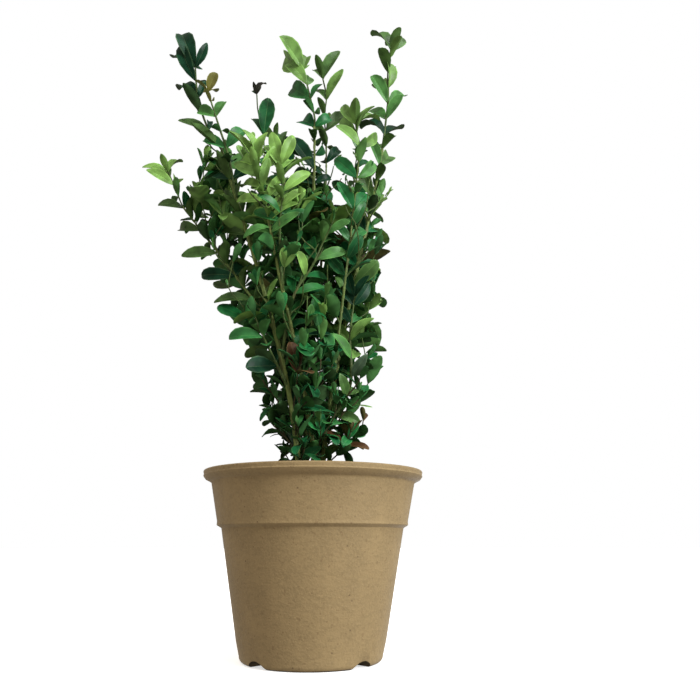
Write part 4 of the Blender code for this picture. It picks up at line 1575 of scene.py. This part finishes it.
@functools.cache
def leaf_form(name):
    """Model one leaf of length one and half width one; return its mesh as arrays.

    A flattened sphere has its poles at the leaf's base and tip. Its rings are moved and resized to
    the leaf's outline, its edges thinned, and a strip along the top is bevelled for the midrib.
    """
    rings = len(LEAF_SHARES)
    deselect_all()
    bpy.ops.mesh.primitive_uv_sphere_add(segments=8, ring_count=rings + 1, radius=0.5)
    leaf = name_active("leaf_" + name)
    bpy.ops.object.mode_set(mode="EDIT")
    select_by("VERT")
    bpy.ops.mesh.select_all(action="SELECT")
    bpy.ops.transform.rotate(
        value=math.radians(90.0), orient_axis="X", center_override=(0.0, 0.0, 0.0)
    )
    bpy.ops.transform.translate(value=(0.0, 0.5, 0.0))
    shape = bmesh.from_edit_mesh(leaf.data)
    for index in range(rings):
        angle = math.pi * (index + 1) / (rings + 1)
        was = 0.5 - 0.5 * math.cos(angle)
        choose(leaf, "VERT", lambda v, was=was: abs(v.co.y - was) < RING_TOLERANCE)
        share = LEAF_SHARES[index]
        half = LEAF_FORMS[name][index]
        radius = 0.5 * math.sin(angle)
        thick = LEAF_THICKNESS * (1.0 if index else 1.3)
        bpy.ops.transform.resize(
            value=(half / radius, 1.0, 0.5 * thick / radius), center_override=(0.0, was, 0.0)
        )
        bpy.ops.transform.translate(value=(0.0, share - was, 0.0))
    select_by("EDGE")

    def is_top_line(edge):
        """Tell whether an edge lies along the middle of the top."""
        return all(abs(v.co.x) < MIDDLE_TOLERANCE and v.co.z > -RIM_TOLERANCE for v in edge.verts)

    def is_spare(edge):
        """Tell whether an edge runs along the underside beside its middle."""
        middle = sum((v.co for v in edge.verts), Vector()) / 2.0
        low = all(v.co.z < RIM_TOLERANCE for v in edge.verts) and middle.z < -RIM_TOLERANCE
        beside = max(abs(v.co.x) for v in edge.verts) > MIDDLE_TOLERANCE
        runs = abs(edge.verts[0].co.y - edge.verts[1].co.y) > RING_TOLERANCE
        return low and beside and runs and not on_rim(edge)

    def on_rim(edge):
        """Tell whether an edge lies on the leaf's rim."""
        ends = [v for v in edge.verts if MIDDLE_TOLERANCE < v.co.y < 1.0 - MIDDLE_TOLERANCE]
        return all(abs(v.co.z) < RIM_TOLERANCE for v in ends)

    def is_beside(vertex):
        """Tell whether a vertex of the top lies between its middle and the rim."""
        return abs(vertex.co.x) > MIDDLE_TOLERANCE and vertex.co.z > RIM_TOLERANCE

    choose(leaf, "EDGE", is_spare)
    bpy.ops.mesh.dissolve_edges(use_verts=False)
    select_by("VERT")
    choose(leaf, "VERT", is_beside)
    bpy.ops.transform.resize(value=(MARGIN_SHARE / math.cos(math.radians(45.0)), 1.0, 1.0))
    select_by("EDGE")
    choose(leaf, "EDGE", is_top_line)
    bpy.ops.mesh.bevel(
        offset=RIB_WIDTH, offset_type="WIDTH", segments=1, affect="EDGES", clamp_overlap=True
    )
    bpy.ops.object.mode_set(mode="OBJECT")
    mesh = leaf.data
    vertices = np.array([v.co for v in mesh.vertices])
    faces, kinds = [], []
    for polygon in mesh.polygons:
        faces.append(tuple(polygon.vertices))
        across = max(abs(mesh.vertices[i].co.x) for i in polygon.vertices)
        rim = sum(abs(mesh.vertices[i].co.z) < RIM_TOLERANCE for i in polygon.vertices)
        if polygon.normal.z < 0.0:
            kinds.append(1)
        elif across < 1.2 * RIB_WIDTH:
            kinds.append(2)
        # Faces along the rim take the margin material, lighter with a painted highlight.
        elif rim > 1 and len(polygon.vertices) == 4:
            kinds.append(3)
        else:
            kinds.append(0)
    bpy.data.objects.remove(leaf, do_unlink=True)
    return vertices, faces, kinds


def shaped_leaves(form, leaves):
    """Return the vertices of many leaves of one form, each bent, cupped, twisted and placed."""
    local = form[None, :, :]
    length = np.array([leaf.length for leaf in leaves])[:, None]
    half_width = 0.5 * np.array([leaf.width for leaf in leaves])[:, None]
    bend = np.array([leaf.bend for leaf in leaves])[:, None]
    cup = np.array([leaf.cup for leaf in leaves])[:, None]
    twist = np.array([leaf.twist for leaf in leaves])[:, None]
    bend = np.where(np.abs(bend) < 0.02, 0.02, bend)
    x, y, z = local[..., 0], local[..., 1], local[..., 2]
    across = x * half_width
    lift = np.abs(x) ** 1.3 * cup * 0.5 * half_width + z * length
    turn = twist * y
    across, lift = (
        across * np.cos(turn) - lift * np.sin(turn),
        across * np.sin(turn) + lift * np.cos(turn),
    )
    along = np.sin(bend * y) / bend * length + np.sin(bend * y) * lift
    up = np.cos(bend * y) * lift - (1.0 - np.cos(bend * y)) / bend * length
    base = np.array([leaf.base for leaf in leaves])[:, None, :]
    ahead = np.array([leaf.direction for leaf in leaves])
    normal = np.array([leaf.normal for leaf in leaves])
    side = np.cross(ahead, normal)
    return (
        base
        + across[..., None] * side[:, None, :]
        + along[..., None] * ahead[:, None, :]
        + up[..., None] * normal[:, None, :]
    )


def tint_finishes(tint):
    """Return the materials of one tint: top face, underside, midrib and margin."""
    color = tuple(part * lift for part, lift in zip(TINTS[tint][0], LEAF_LIFT))
    below = mixed(shaded(color, 1.1), UNDERSIDE, 0.42)
    rib = mixed(shaded(color, 1.7), RIB_COLOR, 0.30)
    # The margin's lighter band is partly the leaf's pale edge, partly a painted highlight on the rolled rim.
    margin = mixed(shaded(color, 1.6), RIB_COLOR, 0.14)
    gloss = 0.10 if TINTS[tint][1] == "dark" else 0.22
    return [
        leaf_finish(f"leaf_{tint}_top", color, 0.38, gloss),
        leaf_finish(f"leaf_{tint}_underside", below, 0.60, 0.12),
        leaf_finish(f"leaf_{tint}_rib", rib, 0.50, 0.12),
        leaf_finish(f"leaf_{tint}_margin", margin, 0.50, 0.12),
    ]


def make_leaves(name, tints, leaves):
    """Join all leaves of some tints into one piece, and return it."""
    finishes = [material for tint in tints for material in tint_finishes(tint)]
    vertices, faces, finish_of_face = [], [], []
    offset = 0
    for form_name in LEAF_FORMS:
        form, form_faces, kinds = leaf_form(form_name)
        chosen = [leaf for leaf in leaves if leaf.form == form_name and leaf.tint in tints]
        if not chosen:
            continue
        vertices.append(shaped_leaves(form, chosen).reshape(-1, 3))
        for leaf in chosen:
            first = 4 * tints.index(leaf.tint)
            faces += [tuple(corner + offset for corner in face) for face in form_faces]
            finish_of_face += [first + kind for kind in kinds]
            offset += len(form)
    return joined_mesh(name, np.concatenate(vertices), faces, finishes, finish_of_face, 75.0)


def masses_of_slot(slot):
    """Return the foliage nodes that the record gives a slot."""
    found = []
    for node in sorted(frame["nodes"]):
        if not node.startswith(("foliage_", "spire_")):
            continue
        material = frame["nodes"][node].data.materials[0]
        if material is not None and slot in material.name:
            found.append(node)
    return found


# --------------------------------------------------------------------------- stage


def make_floor():
    """Lay a wide pale floor."""
    deselect_all()
    bpy.ops.mesh.primitive_circle_add(vertices=128, radius=FLOOR_RADIUS, fill_type="TRIFAN")
    floor = name_active("floor")
    finish = Finish("pale_floor")
    tone = finish.between(finish.clouds(0.4), 0.2, 0.8)
    color = finish.blend(tone, (0.86, 0.86, 0.86), (0.89, 0.89, 0.89))
    material = finish.surface(
        color, 0.9, emission_color=WHITE, emission_strength=0.62, specular_ior_level=0.1
    )
    floor.data.materials.append(material)
    floor.visible_diffuse = False
    floor.visible_glossy = False


def make_world():
    """Surround the scene with even light under a white background."""
    world = bpy.data.worlds.new("studio")
    bpy.context.scene.world = world
    world.use_nodes = True
    nodes = Nodes(world.node_tree)
    place = nodes.node("ShaderNodeTexCoord", output="Generated")
    height = nodes.node("ShaderNodeSeparateXYZ", None, {0: place}, "Z")
    glossy = nodes.node("ShaderNodeLightPath", output="Is Glossy Ray")
    seen = nodes.node("ShaderNodeLightPath", output="Is Camera Ray")
    rise = {"Value": height, "From Min": -1.0, "To Min": LIGHT_FROM_BELOW, "To Max": LIGHT_FROM_ABOVE}
    dim = {"Value": glossy, "To Min": 1.0, "To Max": LIGHT_IN_GLOSS}
    strength = nodes.node("ShaderNodeMapRange", None, rise, "Result")
    strength = strength * nodes.node("ShaderNodeMapRange", None, dim, "Result")
    soft = nodes.node("ShaderNodeBackground", None, {"Color": LIGHT_COLOR, "Strength": strength})
    plain = nodes.node("ShaderNodeBackground", None, {"Color": WHITE, "Strength": 1.0})
    mix = nodes.node("ShaderNodeMixShader", None, {0: seen, 1: soft, 2: plain})
    nodes.node("ShaderNodeOutputWorld", None, {"Surface": mix})


def make_sun(name, direction, strength, softness):
    """Add a soft distant light that shines from a direction."""
    light = bpy.data.lights.new(name, "SUN")
    light.energy = strength
    light.angle = math.radians(softness)
    light.color = SUN_COLOR
    holder = bpy.data.objects.new(name, light)
    holder.rotation_euler = Vector(direction).to_track_quat("Z", "Y").to_euler()
    bpy.context.scene.collection.objects.link(holder)


def make_camera():
    """Set the camera low in front of the pot, looking up at the crown."""
    camera = bpy.data.cameras.new("camera")
    camera.lens = CAMERA_LENS
    camera.sensor_width = 36.0
    camera.clip_start = 0.01
    holder = bpy.data.objects.new("camera", camera)
    holder.location = CAMERA_PLACE
    holder.rotation_euler = (0.5 * math.pi + CAMERA_PITCH, 0.0, CAMERA_TURN)
    bpy.context.scene.collection.objects.link(holder)
    bpy.context.scene.camera = holder


# --------------------------------------------------------------------------- operators


class BOXWOOD_OT_pot(bpy.types.Operator):
    """Model the fibre pot with its lip, step, notches and drain holes."""

    bl_idname = "boxwood.pot"
    bl_label = "Pot"

    def execute(self, context):
        make_pot(context.scene.boxwood_pot)
        return {"FINISHED"}


class BOXWOOD_OT_soil(bpy.types.Operator):
    """Fill the pot with crumbly soil."""

    bl_idname = "boxwood.soil"
    bl_label = "Soil"

    def execute(self, context):
        settings = context.scene.boxwood_pot
        make_soil(settings)
        make_crumbs(settings, context.scene.boxwood_crown.seed)
        return {"FINISHED"}


class BOXWOOD_OT_limbs(bpy.types.Operator):
    """Give every stem and bough its bark."""

    bl_idname = "boxwood.limbs"
    bl_label = "Stems and boughs"

    def execute(self, context):
        settings = context.scene.boxwood_limbs
        textures = bark_textures()
        olive = tuple(settings.stem_color)
        green = mixed(olive, settings.twig_color, 0.5)
        barks = {
            "stem_bark": bark_finish("stem_bark", settings, olive, 84 * MM),
            "bough_bark": bark_finish("bough_bark", settings, green, 80 * MM),
        }
        for limb in limbs().values():
            slot = "stem_bark" if limb.parent is None else "bough_bark"
            make_limb(limb, barks[slot], slot, settings, textures)
        return {"FINISHED"}


class BOXWOOD_OT_twigs(bpy.types.Operator):
    """Grow the leading shoots and twigs."""

    bl_idname = "boxwood.twigs"
    bl_label = "Twigs"

    def execute(self, context):
        make_twigs(context.scene.boxwood_limbs, grown_crown())
        return {"FINISHED"}


class BOXWOOD_OT_leaves(bpy.types.Operator):
    """Set the leaves, joined by the class of their tint."""

    bl_idname = "boxwood.leaves"
    bl_label = "Leaves"

    def execute(self, context):
        crown = grown_crown()
        for kind in ("dark", "middle", "young"):
            tints = [tint for tint, (_, group) in TINTS.items() if group == kind]
            slot = f"leaves_{kind}"
            piece = make_leaves(slot, tints, crown.leaves)
            hand_over(piece, slot, *masses_of_slot(slot))
        return {"FINISHED"}


class BOXWOOD_OT_stage(bpy.types.Operator):
    """Set the floor, the light and the camera."""

    bl_idname = "boxwood.stage"
    bl_label = "Stage"

    def execute(self, context):
        make_floor()
        make_world()
        for sun in SUNS:
            make_sun(*sun)
        make_camera()
        context.scene.view_settings.view_transform = "Standard"
        return {"FINISHED"}


class BOXWOOD_PT_panel(bpy.types.Panel):
    """Settings and builders of the potted boxwood."""

    bl_label = "Potted boxwood"
    bl_idname = "BOXWOOD_PT_panel"
    bl_space_type = "VIEW_3D"
    bl_region_type = "UI"
    bl_category = "Boxwood"

    def draw(self, context):
        scene = context.scene
        for group in (scene.boxwood_pot, scene.boxwood_limbs, scene.boxwood_crown):
            box = self.layout.box()
            for name in group.bl_rna.properties.keys():
                if name not in ("rna_type", "name"):
                    box.prop(group, name)
        for operator in BUILDERS:
            self.layout.operator(operator.bl_idname)


SETTINGS = {
    "boxwood_pot": PotSettings,
    "boxwood_limbs": LimbSettings,
    "boxwood_crown": CrownSettings,
}
BUILDERS = (
    BOXWOOD_OT_pot,
    BOXWOOD_OT_soil,
    BOXWOOD_OT_limbs,
    BOXWOOD_OT_twigs,
    BOXWOOD_OT_leaves,
    BOXWOOD_OT_stage,
)


def register():
    """Register the settings, the operators and the panel."""
    for name, group in SETTINGS.items():
        bpy.utils.register_class(group)
        setattr(bpy.types.Scene, name, PointerProperty(type=group))
    for operator in BUILDERS:
        bpy.utils.register_class(operator)
    bpy.utils.register_class(BOXWOOD_PT_panel)


def unregister():
    """Take the panel, the operators and the settings away again."""
    bpy.utils.unregister_class(BOXWOOD_PT_panel)
    for operator in reversed(BUILDERS):
        bpy.utils.unregister_class(operator)
    for name, group in SETTINGS.items():
        delattr(bpy.types.Scene, name)
        bpy.utils.unregister_class(group)


def main():
    """Build every piece and the stage."""
    register()
    bpy.ops.boxwood.pot()
    bpy.ops.boxwood.soil()
    bpy.ops.boxwood.limbs()
    bpy.ops.boxwood.twigs()
    bpy.ops.boxwood.leaves()
    bpy.ops.boxwood.stage()


if __name__ == "__main__":
    main()
